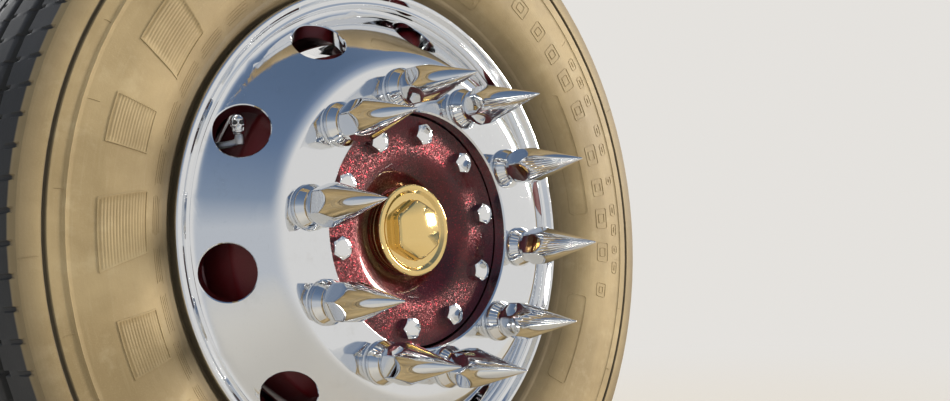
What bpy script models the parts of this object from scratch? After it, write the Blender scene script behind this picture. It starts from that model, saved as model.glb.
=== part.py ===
# Front steer wheel of a heavy road tractor, with its hub, drum brake and steering knuckle.
# Lengths are metres. The origin is the middle of the kingpin, +Z is up, -Y outboard and
# -X towards the vehicle's front. Turned pieces are drawn about the wheel's axis: their
# tables give the radius and the height outboard of the rim's centre plane.

import math

import bmesh
import bpy
from mathutils import Matrix, Vector


# Places of the axes
KINGPIN_TO_RIM_CENTRE = 0.125
KINGPIN_LEAN = math.radians(6.0)
FIRST_STUD_ANGLE = math.radians(133.0)

# Gaps and overruns
SEAT_GAP = 0.0003
RUNNING_GAP = 0.0005
CUT_OVERRUN = 0.004
MERGE_DISTANCE = 0.00001

# Fineness of round shapes. What seats on the wheel's axis shares one count and one phase.
WHEEL_SIDES = 28
SPINDLE_SIDES = 20
HOLE_SIDES = 16
COVER_SIDES = 12
BOSS_SIDES = 16
SMALL_SIDES = 12
BALL_SIDES = 8
BALL_RINGS = 6
HEX_SIDES = 6
LARGE_ROUND = 0.012
LARGE_ROUND_STEP = math.radians(25.0)
SMALL_ROUND_STEP = math.radians(60.0)

# Rim
WHEEL_OUTSET = 0.1515
RIM_SEAT_RADIUS = 0.28575
RIM_HALF_WIDTH = 0.1143
RIM_FLANGE_HEIGHT = 0.0127
RIM_FLANGE_THICKNESS = 0.0147
RIM_FLANGE_ROUND = 0.005
RIM_SEAT_SLOPE = math.radians(15.0)
RIM_SEAT_WIDTH = 0.031
RIM_WALL = 0.009
RIM_WELL_DEPTH = 0.03675
RIM_WELL_RADIUS = RIM_SEAT_RADIUS - RIM_WELL_DEPTH
RIM_SHELF_DROP = 0.0715
RIM_SHELF_HEIGHT = WHEEL_OUTSET - RIM_SHELF_DROP
RIM_SHELF_THICKNESS = 0.020
RIM_WELL_OUTBOARD = RIM_SHELF_HEIGHT - RIM_SHELF_THICKNESS
RIM_WELL_INBOARD = 0.006
RIM_RAMP_END = -0.045
RIM_RAMP_DROP = 0.0045
RIM_OUTER_WALL = 0.02825
RIM_INSIDE_RADIUS = RIM_SEAT_RADIUS - RIM_OUTER_WALL
LIP_FACE_RISE = 0.00545
LIP_FACE_RADIUS = RIM_SEAT_RADIUS + LIP_FACE_RISE
LIP_BEVEL = 0.0042
LIP_STEP_OUTER_RADIUS = LIP_FACE_RADIUS - LIP_BEVEL
LIP_STEP_WIDTH = 0.008
LIP_STEP_INNER_RADIUS = LIP_STEP_OUTER_RADIUS - LIP_STEP_WIDTH
LIP_STEP_DEPTH = 0.0055
GUTTER_LEAN = 0.0028
GUTTER_RADIUS = LIP_STEP_INNER_RADIUS - GUTTER_LEAN
GUTTER_WIDTH = 0.0072
GUTTER_ROUND = 0.008

# Disc of the wheel
STUD_CIRCLE_RADIUS = 0.1675
STUD_COUNT = 10
STUD_TO_BORE = 0.027
WHEEL_BORE_RADIUS = STUD_CIRCLE_RADIUS - STUD_TO_BORE
DISC_THICKNESS = 0.0245
NUT_FACE_MARGIN = 0.0385
NUT_FACE_RADIUS = STUD_CIRCLE_RADIUS + NUT_FACE_MARGIN
NUT_FACE_ROUND = 0.030
DISC_CONE_SLOPE = math.radians(45.0)
DISC_FOOT_RADIUS = GUTTER_RADIUS - GUTTER_WIDTH
CONE_THICKNESS = 0.018
DISC_BACK_ROUND = 0.008
HAND_HOLE_MARGIN = 0.001
HAND_HOLE_RADIUS = (DISC_FOOT_RADIUS - NUT_FACE_RADIUS - HAND_HOLE_MARGIN) / 2
HAND_HOLE_PLACE_SHARE = 0.655
HAND_HOLE_CIRCLE_RADIUS = NUT_FACE_RADIUS + (DISC_FOOT_RADIUS - NUT_FACE_RADIUS) * HAND_HOLE_PLACE_SHARE
HAND_HOLE_CUT_DEPTH = 0.054
BORE_CHAMFER = 0.0018

# Tyre
TYRE_RADIUS = 0.475
TYRE_BULGE = 0.0432
TYRE_HALF_WIDTH = RIM_HALF_WIDTH + TYRE_BULGE
WIDEST_SHARE = 0.54
TYRE_WIDEST_RADIUS = RIM_SEAT_RADIUS + (TYRE_RADIUS - RIM_SEAT_RADIUS) * WIDEST_SHARE
SHOULDER_DROP = 0.012
SHOULDER_RADIUS = TYRE_RADIUS - SHOULDER_DROP
SHOULDER_INSET = 0.011
SHOULDER_HALF_WIDTH = TYRE_HALF_WIDTH - SHOULDER_INSET
SHOULDER_ROUND = 0.009
UPPER_SIDE_HEIGHT = SHOULDER_RADIUS - TYRE_WIDEST_RADIUS
SIDE_GROOVE_SHARE = 0.68
SIDE_GROOVE_RADIUS = TYRE_WIDEST_RADIUS + UPPER_SIDE_HEIGHT * SIDE_GROOVE_SHARE
SIDE_GROOVE_WIDTH = 0.005
SIDE_GROOVE_DEPTH = 0.0025
SIDE_RIDGE_SHARE = 0.44
SIDE_RIDGE_RADIUS = TYRE_WIDEST_RADIUS + UPPER_SIDE_HEIGHT * SIDE_RIDGE_SHARE
SIDE_RIDGE_STEP = 0.0012
SIDEWALL_THICKNESS = 0.013
LOWER_SIDE_HOLLOW = 0.0045
CROWN_THICKNESS = 0.030
TREAD_GROOVE_SHARES = (0.60, 0.205)
TREAD_GROOVE_WIDTH = 0.012
TREAD_GROOVE_TAPER = 0.003
TREAD_GROOVE_DEPTH = 0.013
BEAD_RIB_RISE = 0.02525
BEAD_RIB_RADIUS = RIM_SEAT_RADIUS + BEAD_RIB_RISE
BEAD_RIB_ROUND = 0.004
BEAD_WIDTH = 0.030
LOWER_SIDE_ROUND = 0.060

# Nut covers
COVER_LENGTH = 0.1255
COVER_SKIRT_RADIUS = 0.0255
COVER_SKIRT_HEIGHT = 0.0165
COVER_SKIRT_ROUND = 0.010
COVER_NECK_RADIUS = 0.0195
COVER_NECK_TOP = 0.0200
COVER_NECK_ROOT = 0.0150
COVER_HEX_HALF_FLATS = 0.0208
COVER_HEX_FOOT_TOP = 0.0265
COVER_CONE_FOOT = 0.0420
COVER_TIP_RADIUS = 0.0006

# Brake drum
DRUM_WELL_CLEARANCE = 0.008
DRUM_BAND_HEIGHT = 0.006
DRUM_BAND_WIDTH = 0.016
DRUM_WALL = 0.0165
DRUM_BAND_RADIUS = RIM_WELL_RADIUS - RIM_WALL - DRUM_WELL_CLEARANCE
DRUM_OUTER_RADIUS = DRUM_BAND_RADIUS - DRUM_BAND_HEIGHT
DRUM_BORE_RADIUS = DRUM_OUTER_RADIUS - DRUM_WALL
DRUM_WEB = 0.0105
DRUM_WEB_INSET = 0.0105
DRUM_WEB_RADIUS = DRUM_BORE_RADIUS - DRUM_WEB_INSET
DRUM_WEB_INSIDE_GAP = 0.004
DRUM_SHOULDER_DROP = 0.0395
DRUM_SHOULDER_HEIGHT = WHEEL_OUTSET - DRUM_SHOULDER_DROP
DRUM_END = -0.045

# Hub and the plate in its mouth
HUB_PILOT_RADIUS = WHEEL_BORE_RADIUS - SEAT_GAP
HUB_FLANGE_CLEARANCE = 0.0175
HUB_FLANGE_RADIUS = DRUM_BORE_RADIUS - HUB_FLANGE_CLEARANCE
HUB_FLANGE_THICKNESS = 0.022
HUB_FACE_DROP = 0.0045
HUB_FACE_HEIGHT = WHEEL_OUTSET - HUB_FACE_DROP
HUB_NECK_DROP = 0.022
HUB_CAVITY_RADIUS = 0.062
HUB_MOUTH_SLOPE = 0.026
HUB_MOUTH_RADIUS = HUB_CAVITY_RADIUS + HUB_MOUTH_SLOPE
HUB_MOUTH_DEPTH = 0.023
HUB_BARREL_RADIUS = 0.112
HUB_BARREL_END_RADIUS = 0.088
HUB_SEAL_RADIUS = 0.0640
HUB_SEAL_DEPTH = 0.009
PLATE_EDGE_GAP = 0.0009
PLATE_EDGE_RADIUS = HUB_PILOT_RADIUS - PLATE_EDGE_GAP
PLATE_FACE_RISE = 0.0055
PLATE_FACE_HEIGHT = WHEEL_OUTSET + PLATE_FACE_RISE
PLATE_FLAT_WIDTH = 0.0513
PLATE_DISH_RADIUS = PLATE_EDGE_RADIUS - PLATE_FLAT_WIDTH
PLATE_DISH_ROUND = 0.034
PLATE_DISH_DEPTH = 0.023
PLATE_NECK_HEIGHT = PLATE_FACE_HEIGHT - PLATE_DISH_DEPTH
PLATE_NECK_WIDTH = 0.004
PLATE_NECK_LENGTH = 0.019
PLATE_NECK_END = PLATE_NECK_HEIGHT - PLATE_NECK_LENGTH

# Hub bolts
HUB_BOLT_INSET = 0.0219
HUB_BOLT_CIRCLE_RADIUS = PLATE_EDGE_RADIUS - HUB_BOLT_INSET
HUB_BOLT_HALF_FLATS = 0.0118
HUB_BOLT_HEAD = 0.0097
HUB_BOLT_CHAMFER = 0.0022

# Hub cap
CAP_BODY_RADIUS = 0.0500
CAP_FLANGE_OVERHANG = 0.0060
CAP_FLANGE_RADIUS = CAP_BODY_RADIUS + CAP_FLANGE_OVERHANG
CAP_FLANGE_THICKNESS = 0.0065
CAP_FLANGE_ROUND = 0.0030
CAP_FACE_RISE = 0.0020
CAP_FACE_HEIGHT = PLATE_FACE_HEIGHT + CAP_FACE_RISE
CAP_BODY_LENGTH = 0.0390
CAP_BODY_END = CAP_FACE_HEIGHT - CAP_BODY_LENGTH
CAP_RIM_WIDTH = 0.0090
CAP_RECESS_DEPTH = 0.0035
CAP_BOSS_INSET = 0.0145
CAP_BOSS_HALF_FLATS = CAP_FLANGE_RADIUS - CAP_RIM_WIDTH - CAP_BOSS_INSET
CAP_BOSS_CORNER = 0.011
CAP_BOSS_SHOULDER = 0.0110
CAP_BOSS_CROWN = 0.0065
CAP_BOSS_ROOT = 0.0018
CAP_CROWN_SHARES = ((0.0, 1.0), (0.5, 0.86), (0.8, 0.52))
CAP_BOSS_EDGE_SHARE = -0.5

# Valve and its skull-shaped cap
VALVE_RADIUS = 0.0040
VALVE_NUT_RADIUS = 0.0075
VALVE_NUT_HEIGHT = 0.0060
VALVE_RISE = 0.0120
VALVE_FOOT_PULL = 0.0180
VALVE_TOP_PULL = 0.0080
VALVE_TOP = 0.0030
VALVE_BEND_STEPS = 6
VALVE_WALL_GAP = 0.0097
VALVE_CIRCLE_RADIUS = RIM_INSIDE_RADIUS - VALVE_WALL_GAP
VALVE_OFF_HOLE_ANGLE = math.radians(3.4)
SKULL_PULL_IN = 0.0055
SKULL_CIRCLE_RADIUS = VALVE_CIRCLE_RADIUS - SKULL_PULL_IN
SKULL_OFF_HOLE_ANGLE = math.radians(0.4)
SKULL_RISE = 0.0435
SKULL_OUTSET = RIM_SHELF_HEIGHT + SKULL_RISE
SKULL_HALF_WIDTH = 0.0085
SKULL_HALF_LENGTH = 0.0105
SKULL_HALF_HEIGHT = 0.0090
SKULL_JAW_RADIUS = 0.0060
SKULL_JAW_HEIGHT = 0.0090
SKULL_CROWN_HEIGHT = 0.0135
SKULL_EYE_RADIUS = 0.0026
SKULL_EYE_SPACING = 0.0070
SKULL_EYE_HEIGHT = 0.0122
SKULL_EYE_FORWARD = 0.0088

# Cam tube's place inside the drum
BRAKE_ANGLE = math.radians(20.0)
CAM_INSET = 0.0615
CAM_DISTANCE = DRUM_BORE_RADIUS - CAM_INSET
CAM_TUBE_FLANGE_RADIUS = 0.042

# Spindle and knuckle
SPINDLE_ROOT_RADIUS = 0.056
SPINDLE_INNER_RADIUS = 0.0450
SPINDLE_OUTER_RADIUS = 0.0325
SPINDLE_CAP_CLEARANCE = 0.0080
SPINDLE_END = CAP_BODY_END - SPINDLE_CAP_CLEARANCE
SPINDLE_THREAD_LENGTH = 0.0200
SPINDLE_OUTER_TOP = SPINDLE_END - SPINDLE_THREAD_LENGTH
SPINDLE_OUTER_LENGTH = 0.0260
SPINDLE_OUTER_BOTTOM = SPINDLE_OUTER_TOP - SPINDLE_OUTER_LENGTH
SPINDLE_INNER_BOTTOM = -0.0140
SPINDLE_INNER_LENGTH = 0.0360
SPINDLE_INNER_TOP = SPINDLE_INNER_BOTTOM + SPINDLE_INNER_LENGTH
SPINDLE_THREAD_RADIUS = 0.0290
KNUCKLE_FLANGE_CLEARANCE = 0.011
KNUCKLE_FLANGE_RADIUS = CAM_DISTANCE - CAM_TUBE_FLANGE_RADIUS - KNUCKLE_FLANGE_CLEARANCE
KNUCKLE_FLANGE_OUTBOARD = -0.038
KNUCKLE_FLANGE_THICKNESS = 0.024
KNUCKLE_FLANGE_ROUND = 0.004
YOKE_WALL = 0.016
YOKE_HALF_DEPTH = 0.046
YOKE_BEVEL = 0.007
YOKE_FLANGE_OVERLAP = 0.011
YOKE_SHOULDER = 0.018
YOKE_END = -0.005
EAR_RADIUS = 0.045
EAR_GAP_HALF_HEIGHT = 0.071
EAR_PAD = 0.0015
EAR_CORNER = 0.014
EAR_HEIGHT = 0.054
KINGPIN_BORE_RADIUS = 0.0230
KINGPIN_CAP_RADIUS = 0.0400
KINGPIN_CAP_HEIGHT = 0.0100
KINGPIN_CAP_DOME = 0.0045
KINGPIN_CAP_ROUND = 0.004

# Arms
ARM_THICKNESS = 0.030
ARM_BEVEL = 0.006
ARM_EYE_RADIUS = 0.029
ARM_EYE_BORE = 0.0125
ARM_ROOT_HALF_WIDTH = 0.028
ARM_NECK_HALF_WIDTH = 0.019
ARM_NECK_SHARE = 0.55
ARM_EYE_WRAP = math.radians(125.0)
STEERING_ARM_ROOT = -0.032
STEERING_ARM_EYE = (-0.175, 0.050)
TIE_ROD_ARM_ROOT = -0.020
TIE_ROD_ARM_EYE = (0.190, 0.034)

# Brake carried by the knuckle
SPIDER_INSET = 0.0915
SPIDER_RADIUS = DRUM_BORE_RADIUS - SPIDER_INSET
SPIDER_THICKNESS = 0.014
SPIDER_BORE_GAP = 0.001
CAM_LOBE_CLEARANCE = 0.0135
CAM_LOBE_RADIUS = DRUM_BORE_RADIUS - CAM_DISTANCE - CAM_LOBE_CLEARANCE
SHIELD_THICKNESS = 0.003
SHIELD_OVERHANG = 0.010
SHIELD_RADIUS = DRUM_OUTER_RADIUS + SHIELD_OVERHANG
SHIELD_STEP_INSET = 0.0195
SHIELD_STEP_RADIUS = DRUM_BORE_RADIUS - SHIELD_STEP_INSET
SHIELD_STEP_LEAN = 0.0015
SHIELD_BORE_GAP = 0.0015
SHIELD_HOLE_GAP = 0.002
SHIELD_OFFSET = 0.013
SHIELD_EDGE = 0.006
CAM_TUBE_RADIUS = 0.027
CAM_TUBE_FLANGE = 0.008
CAM_TUBE_FLANGE_ROUND = 0.004
CAM_TUBE_END = -0.218
CAMSHAFT_RADIUS = 0.019
CAMSHAFT_END = -0.266
SLACK_THICKNESS = 0.026
SLACK_BEVEL = 0.0035
SLACK_HUB_RADIUS = 0.034
SLACK_ARM_LENGTH = 0.140
SLACK_TIP_RADIUS = 0.017
SLACK_WORM_RADIUS = 0.0115
SLACK_WORM_HALF_LENGTH = 0.041
SLACK_WORM_PLACE = 0.034
SLACK_PLANE = -0.242
CLEVIS_PIN_RADIUS = 0.0065
CLEVIS_PIN_STANDOUT = 0.004
CLEVIS_EAR = 0.007
CLEVIS_HALF_HEIGHT = 0.015
CLEVIS_BACK = 0.016
CLEVIS_SLOT = 0.030
CLEVIS_LENGTH = 0.046
PUSHROD_RADIUS = 0.008
CHAMBER_RADIUS = 0.069
CHAMBER_CLAMP_RADIUS = 0.075
CHAMBER_CLAMP_HEIGHT = 0.018
CHAMBER_HEIGHT = 0.118
CHAMBER_ROUND = 0.022
CHAMBER_BASE_ROUND = 0.011
CHAMBER_DISTANCE = 0.105
CHAMBER_BASE_RADIUS = 0.058
CHAMBER_MOUTH_RADIUS = 0.013
CHAMBER_MOUTH_DEPTH = 0.020
BRACKET_THICKNESS = 0.011
BRACKET_SHELF_HALF_WIDTH = 0.050
BRACKET_SHELF_DEPTH = 0.086
BRACKET_CLAMP_RADIUS = 0.043
BRACKET_TUBE_END = 0.004

MATERIALS = {
    "tyre_rubber": ((0.42, 0.35, 0.21), 0.0, 0.75),
    "polished_aluminium": ((0.80, 0.82, 0.85), 1.0, 0.10),
    "chrome": ((0.86, 0.87, 0.88), 1.0, 0.06),
    "red_flake": ((0.32, 0.012, 0.022), 0.4, 0.28),
    "polished_brass": ((0.83, 0.60, 0.22), 1.0, 0.14),
    "drum_red": ((0.16, 0.012, 0.012), 0.1, 0.50),
    "black_steel": ((0.035, 0.035, 0.038), 0.3, 0.50),
    "zinc_steel": ((0.55, 0.56, 0.58), 0.9, 0.38),
}


# Scene, materials and frames

def clear_scene():
    for item in list(bpy.data.objects):
        bpy.data.objects.remove(item, do_unlink=True)


def new_collection(name):
    group = bpy.data.collections.new(name)
    bpy.context.scene.collection.children.link(group)
    return group


def make_material(name):
    colour, metallic, roughness = MATERIALS[name]
    material = bpy.data.materials.new(name)
    material.use_nodes = True
    shader = material.node_tree.nodes["Principled BSDF"]
    shader.inputs["Base Color"].default_value = (*colour, 1.0)
    shader.inputs["Metallic"].default_value = metallic
    shader.inputs["Roughness"].default_value = roughness
    return material


def new_frame(name, location, rotation, parent=None):
    frame = bpy.data.objects.new(name, None)
    frame.location = location
    frame.rotation_euler = rotation
    frame.parent = parent
    parts.objects.link(frame)
    return frame


def place(item, frame, location=(0.0, 0.0, 0.0), rotation=(0.0, 0.0, 0.0)):
    item.parent = frame
    item.location = location
    item.rotation_euler = rotation
    return item


def add_object(name, mesh, group, material=None):
    item = bpy.data.objects.new(name, mesh)
    group.objects.link(item)
    if material:
        mesh.materials.append(make_material(material))
    return item


def as_cutter(item):
    item.hide_render = True
    item.display_type = "WIRE"
    return item


def combine(item, tool, operation):
    modifier = item.modifiers.new(f"{operation.lower()}_{tool.name}", "BOOLEAN")
    modifier.operation = operation
    modifier.object = tool
    modifier.solver = "EXACT"
    return item


def shade(mesh, angle=math.radians(35.0)):
    mesh.shade_smooth()
    mesh.set_sharp_from_angle(angle=angle)


# Outlines

def arc_points(centre, radius, start, end):
    step_angle = LARGE_ROUND_STEP if radius >= LARGE_ROUND else SMALL_ROUND_STEP
    steps = max(1, round(abs(end - start) / step_angle))
    points = []
    for step in range(steps + 1):
        angle = start + (end - start) * step / steps
        points.append((centre[0] + radius * math.cos(angle), centre[1] + radius * math.sin(angle)))
    return points


def rounded(rows, closed=True):
    """Replace each corner of a table of (radius, height, rounding) rows by an arc."""
    outline = []
    count = len(rows)
    for index, (radius, height, rounding) in enumerate(rows):
        corner = Vector((radius, height))
        is_end = not closed and index in (0, count - 1)
        if is_end or not rounding:
            outline.append((radius, height))
            continue
        before = Vector(rows[index - 1][:2]) - corner
        after = Vector(rows[(index + 1) % count][:2]) - corner
        half_angle = before.angle(after) / 2
        reach = min(rounding / math.tan(half_angle), before.length / 2, after.length / 2)
        arc_radius = reach * math.tan(half_angle)
        middle = (before.normalized() + after.normalized()).normalized()
        centre = corner + middle * arc_radius / math.sin(half_angle)
        first = corner + before.normalized() * reach - centre
        last = corner + after.normalized() * reach - centre
        start = math.atan2(first.y, first.x)
        sweep = math.atan2(first.x * last.y - first.y * last.x, first.dot(last))
        outline.extend(arc_points(centre, arc_radius, start, start + sweep))
    return outline


# Shapes

def turned(name, outline, sides, group, material=None, closed=True):
    mesh = bpy.data.meshes.new(name)
    count = len(outline)
    edges = [(index, index + 1) for index in range(count - 1)]
    if closed:
        edges.append((count - 1, 0))
    mesh.from_pydata([(radius, 0.0, height) for radius, height in outline], edges, [])
    item = add_object(name, mesh, group, material)
    screw = item.modifiers.new("turn", "SCREW")
    screw.axis = "Z"
    screw.angle = math.tau
    screw.steps = sides
    screw.render_steps = sides
    screw.use_merge_vertices = True
    screw.merge_threshold = MERGE_DISTANCE
    screw.use_smooth_shade = True
    return item


def cylinder(name, radius, bottom, top, sides, group, material=None):
    mesh = bpy.data.meshes.new(name)
    form = bmesh.new()
    bmesh.ops.create_cone(form, cap_ends=True, segments=sides, radius1=radius, radius2=radius,
                          depth=top - bottom)
    bmesh.ops.translate(form, verts=form.verts, vec=(0.0, 0.0, (top + bottom) / 2))
    form.to_mesh(mesh)
    form.free()
    shade(mesh)
    return add_object(name, mesh, group, material)


def hexagon(name, half_flats, bottom, top, group, corner=0.0):
    item = cylinder(name, half_flats / math.cos(math.pi / HEX_SIDES), bottom, top, HEX_SIDES, group)
    if corner:
        bevel = item.modifiers.new("corners", "BEVEL")
        bevel.width = corner
        bevel.segments = 3
        bevel.limit_method = "ANGLE"
        bevel.angle_limit = math.radians(50.0)
    return item


def extruded(name, outline, bottom, top, group, material=None, bevel=0.0):
    curve = bpy.data.curves.new(name, "CURVE")
    curve.dimensions = "2D"
    curve.fill_mode = "BOTH"
    curve.extrude = (top - bottom) / 2
    spline = curve.splines.new("POLY")
    spline.points.add(len(outline) - 1)
    for point, (x, y) in zip(spline.points, outline):
        point.co = (x, y, 0.0, 1.0)
    spline.use_cyclic_u = True
    flat = bpy.data.objects.new(name + "_outline", curve)
    group.objects.link(flat)
    bpy.context.view_layer.update()
    mesh = bpy.data.meshes.new_from_object(flat.evaluated_get(bpy.context.evaluated_depsgraph_get()))
    bpy.data.objects.remove(flat, do_unlink=True)
    form = bmesh.new()
    form.from_mesh(mesh)
    bmesh.ops.remove_doubles(form, verts=form.verts, dist=MERGE_DISTANCE)
    bmesh.ops.translate(form, verts=form.verts, vec=(0.0, 0.0, (top + bottom) / 2))
    bmesh.ops.dissolve_limit(form, angle_limit=math.radians(0.5), verts=form.verts, edges=form.edges)
    form.to_mesh(mesh)
    form.free()
    mesh.name = name
    shade(mesh)
    item = add_object(name, mesh, group, material)
    if bevel:
        edge = item.modifiers.new("edges", "BEVEL")
        edge.width = bevel
        edge.segments = 1
        edge.limit_method = "ANGLE"
        edge.angle_limit = math.radians(50.0)
    return item


def bend_points(start, start_pull, end_pull, end, steps):
    """Points along a Bezier curve from its start to its end."""
    points = []
    for step in range(steps + 1):
        share = step / steps
        first = start.lerp(start_pull, share)
        middle = start_pull.lerp(end_pull, share)
        last = end_pull.lerp(end, share)
        points.append(first.lerp(middle, share).lerp(middle.lerp(last, share), share))
    return points


def tube(name, points, radius):
    """Round bar along a list of points, as a closed mesh that can cut or join."""
    curve = bpy.data.curves.new(name, "CURVE")
    curve.dimensions = "3D"
    curve.bevel_depth = radius
    curve.bevel_resolution = 2
    curve.use_fill_caps = True
    spline = curve.splines.new("POLY")
    spline.points.add(len(points) - 1)
    for point, place_of_point in zip(spline.points, points):
        point.co = (*place_of_point, 1.0)
    line = bpy.data.objects.new(name + "_line", curve)
    cutters.objects.link(line)
    bpy.context.view_layer.update()
    mesh = bpy.data.meshes.new_from_object(line.evaluated_get(bpy.context.evaluated_depsgraph_get()))
    bpy.data.objects.remove(line, do_unlink=True)
    form = bmesh.new()
    form.from_mesh(mesh)
    bmesh.ops.remove_doubles(form, verts=form.verts, dist=MERGE_DISTANCE)
    form.to_mesh(mesh)
    form.free()
    shade(mesh)
    return add_object(name, mesh, cutters)


def ball(name, half_sizes):
    mesh = bpy.data.meshes.new(name)
    form = bmesh.new()
    bmesh.ops.create_uvsphere(form, u_segments=BALL_SIDES, v_segments=BALL_RINGS, radius=1.0)
    bmesh.ops.scale(form, verts=form.verts, vec=half_sizes)
    form.to_mesh(mesh)
    form.free()
    shade(mesh)
    return add_object(name, mesh, cutters)


def block(name, sizes):
    mesh = bpy.data.meshes.new(name)
    form = bmesh.new()
    bmesh.ops.create_cube(form, size=1.0)
    bmesh.ops.scale(form, verts=form.verts, vec=sizes)
    form.to_mesh(mesh)
    form.free()
    return add_object(name, mesh, cutters)


def round_bar_outline(first, first_radius, last, last_radius):
    """Outline of two circles and the tangents between them."""
    start = Vector(first)
    end = Vector(last)
    along = end - start
    heading = math.atan2(along.y, along.x)
    spread = math.acos((first_radius - last_radius) / along.length)
    tip = arc_points(end, last_radius, heading - spread, heading + spread)
    root = arc_points(start, first_radius, heading + spread, heading - spread + math.tau)
    return tip + root


def on_circle(radius, angle, height):
    return Vector((radius * math.cos(angle), radius * math.sin(angle), height))


def stud_angle(index):
    return FIRST_STUD_ANGLE - index * math.tau / STUD_COUNT


def between_studs_angle(index):
    return stud_angle(index) - math.pi / STUD_COUNT


# Tyre

def tread_radius(height):
    drop = TYRE_RADIUS - SHOULDER_RADIUS
    return TYRE_RADIUS - drop * (height / SHOULDER_HALF_WIDTH) ** 2


def tyre_outer_half():
    """Outboard half from the bead's heel over the sidewall to the last tread groove."""
    seat_radius = RIM_SEAT_RADIUS + SEAT_GAP
    heel_height = RIM_HALF_WIDTH - SEAT_GAP
    flange_clear = RIM_FLANGE_HEIGHT + 2 * SEAT_GAP
    groove_half = SIDE_GROOVE_WIDTH / 2
    side_height = (TYRE_HALF_WIDTH + SHOULDER_HALF_WIDTH) / 2
    ridge_height = side_height + SIDE_RIDGE_STEP
    rows = [
        (seat_radius, heel_height, 0.0),
        (seat_radius + flange_clear, heel_height, 0.0),
        (BEAD_RIB_RADIUS, RIM_HALF_WIDTH + RIM_FLANGE_THICKNESS, BEAD_RIB_ROUND),
        ((BEAD_RIB_RADIUS + TYRE_WIDEST_RADIUS) / 2, TYRE_HALF_WIDTH - LOWER_SIDE_HOLLOW, 0.0),
        (TYRE_WIDEST_RADIUS, TYRE_HALF_WIDTH, LOWER_SIDE_ROUND),
        (SIDE_RIDGE_RADIUS, ridge_height, 0.0),
        (SIDE_GROOVE_RADIUS - groove_half, side_height - SIDE_RIDGE_STEP, 0.0),
        (SIDE_GROOVE_RADIUS, side_height - SIDE_RIDGE_STEP - SIDE_GROOVE_DEPTH, 0.0),
        (SIDE_GROOVE_RADIUS + groove_half, side_height - SIDE_RIDGE_STEP, 0.0),
        (SHOULDER_RADIUS, SHOULDER_HALF_WIDTH, SHOULDER_ROUND),
    ]
    for share in TREAD_GROOVE_SHARES:
        place_of_groove = SHOULDER_HALF_WIDTH * share
        near = place_of_groove + TREAD_GROOVE_WIDTH / 2
        far = place_of_groove - TREAD_GROOVE_WIDTH / 2
        depth = tread_radius(place_of_groove) - TREAD_GROOVE_DEPTH
        rows.append((tread_radius(near), near, 0.0))
        rows.append((depth, near - TREAD_GROOVE_TAPER, 0.0))
        rows.append((depth, far + TREAD_GROOVE_TAPER, 0.0))
        rows.append((tread_radius(far), far, 0.0))
    rows.append((TYRE_RADIUS, 0.0, 0.0))
    return rows


def tyre_inner_half():
    """Outboard half of the inside, from the crown to the bead's toe."""
    crown_radius = TYRE_RADIUS - CROWN_THICKNESS
    inner_width = TYRE_HALF_WIDTH - SIDEWALL_THICKNESS
    toe_height = RIM_HALF_WIDTH - BEAD_WIDTH
    toe_radius = RIM_SEAT_RADIUS + SEAT_GAP - (BEAD_WIDTH - SEAT_GAP) * math.tan(RIM_SEAT_SLOPE)
    return [
        (crown_radius, 0.0, 0.0),
        (crown_radius, SHOULDER_HALF_WIDTH - CROWN_THICKNESS, 0.0),
        ((crown_radius + TYRE_WIDEST_RADIUS) / 2, SHOULDER_HALF_WIDTH - SIDEWALL_THICKNESS, 0.0),
        (TYRE_WIDEST_RADIUS, inner_width, 0.0),
        (BEAD_RIB_RADIUS, inner_width - CROWN_THICKNESS, 0.0),
        (toe_radius, toe_height, 0.0),
    ]


def mirrored(rows):
    return [(radius, -height, rounding) for radius, height, rounding in reversed(rows)]


def build_tyre(frame):
    outer = tyre_outer_half()
    inner = tyre_inner_half()
    rows = outer + mirrored(outer[:-1]) + mirrored(inner[1:]) + inner
    place(turned("tyre", rounded(rows), WHEEL_SIDES, parts, "tyre_rubber"), frame)


# Disc wheel

def cone_height(radius):
    """Height of the disc's outer cone at a radius."""
    top = WHEEL_OUTSET + DISC_THICKNESS
    return top - (radius - NUT_FACE_RADIUS) * math.tan(DISC_CONE_SLOPE)


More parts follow.
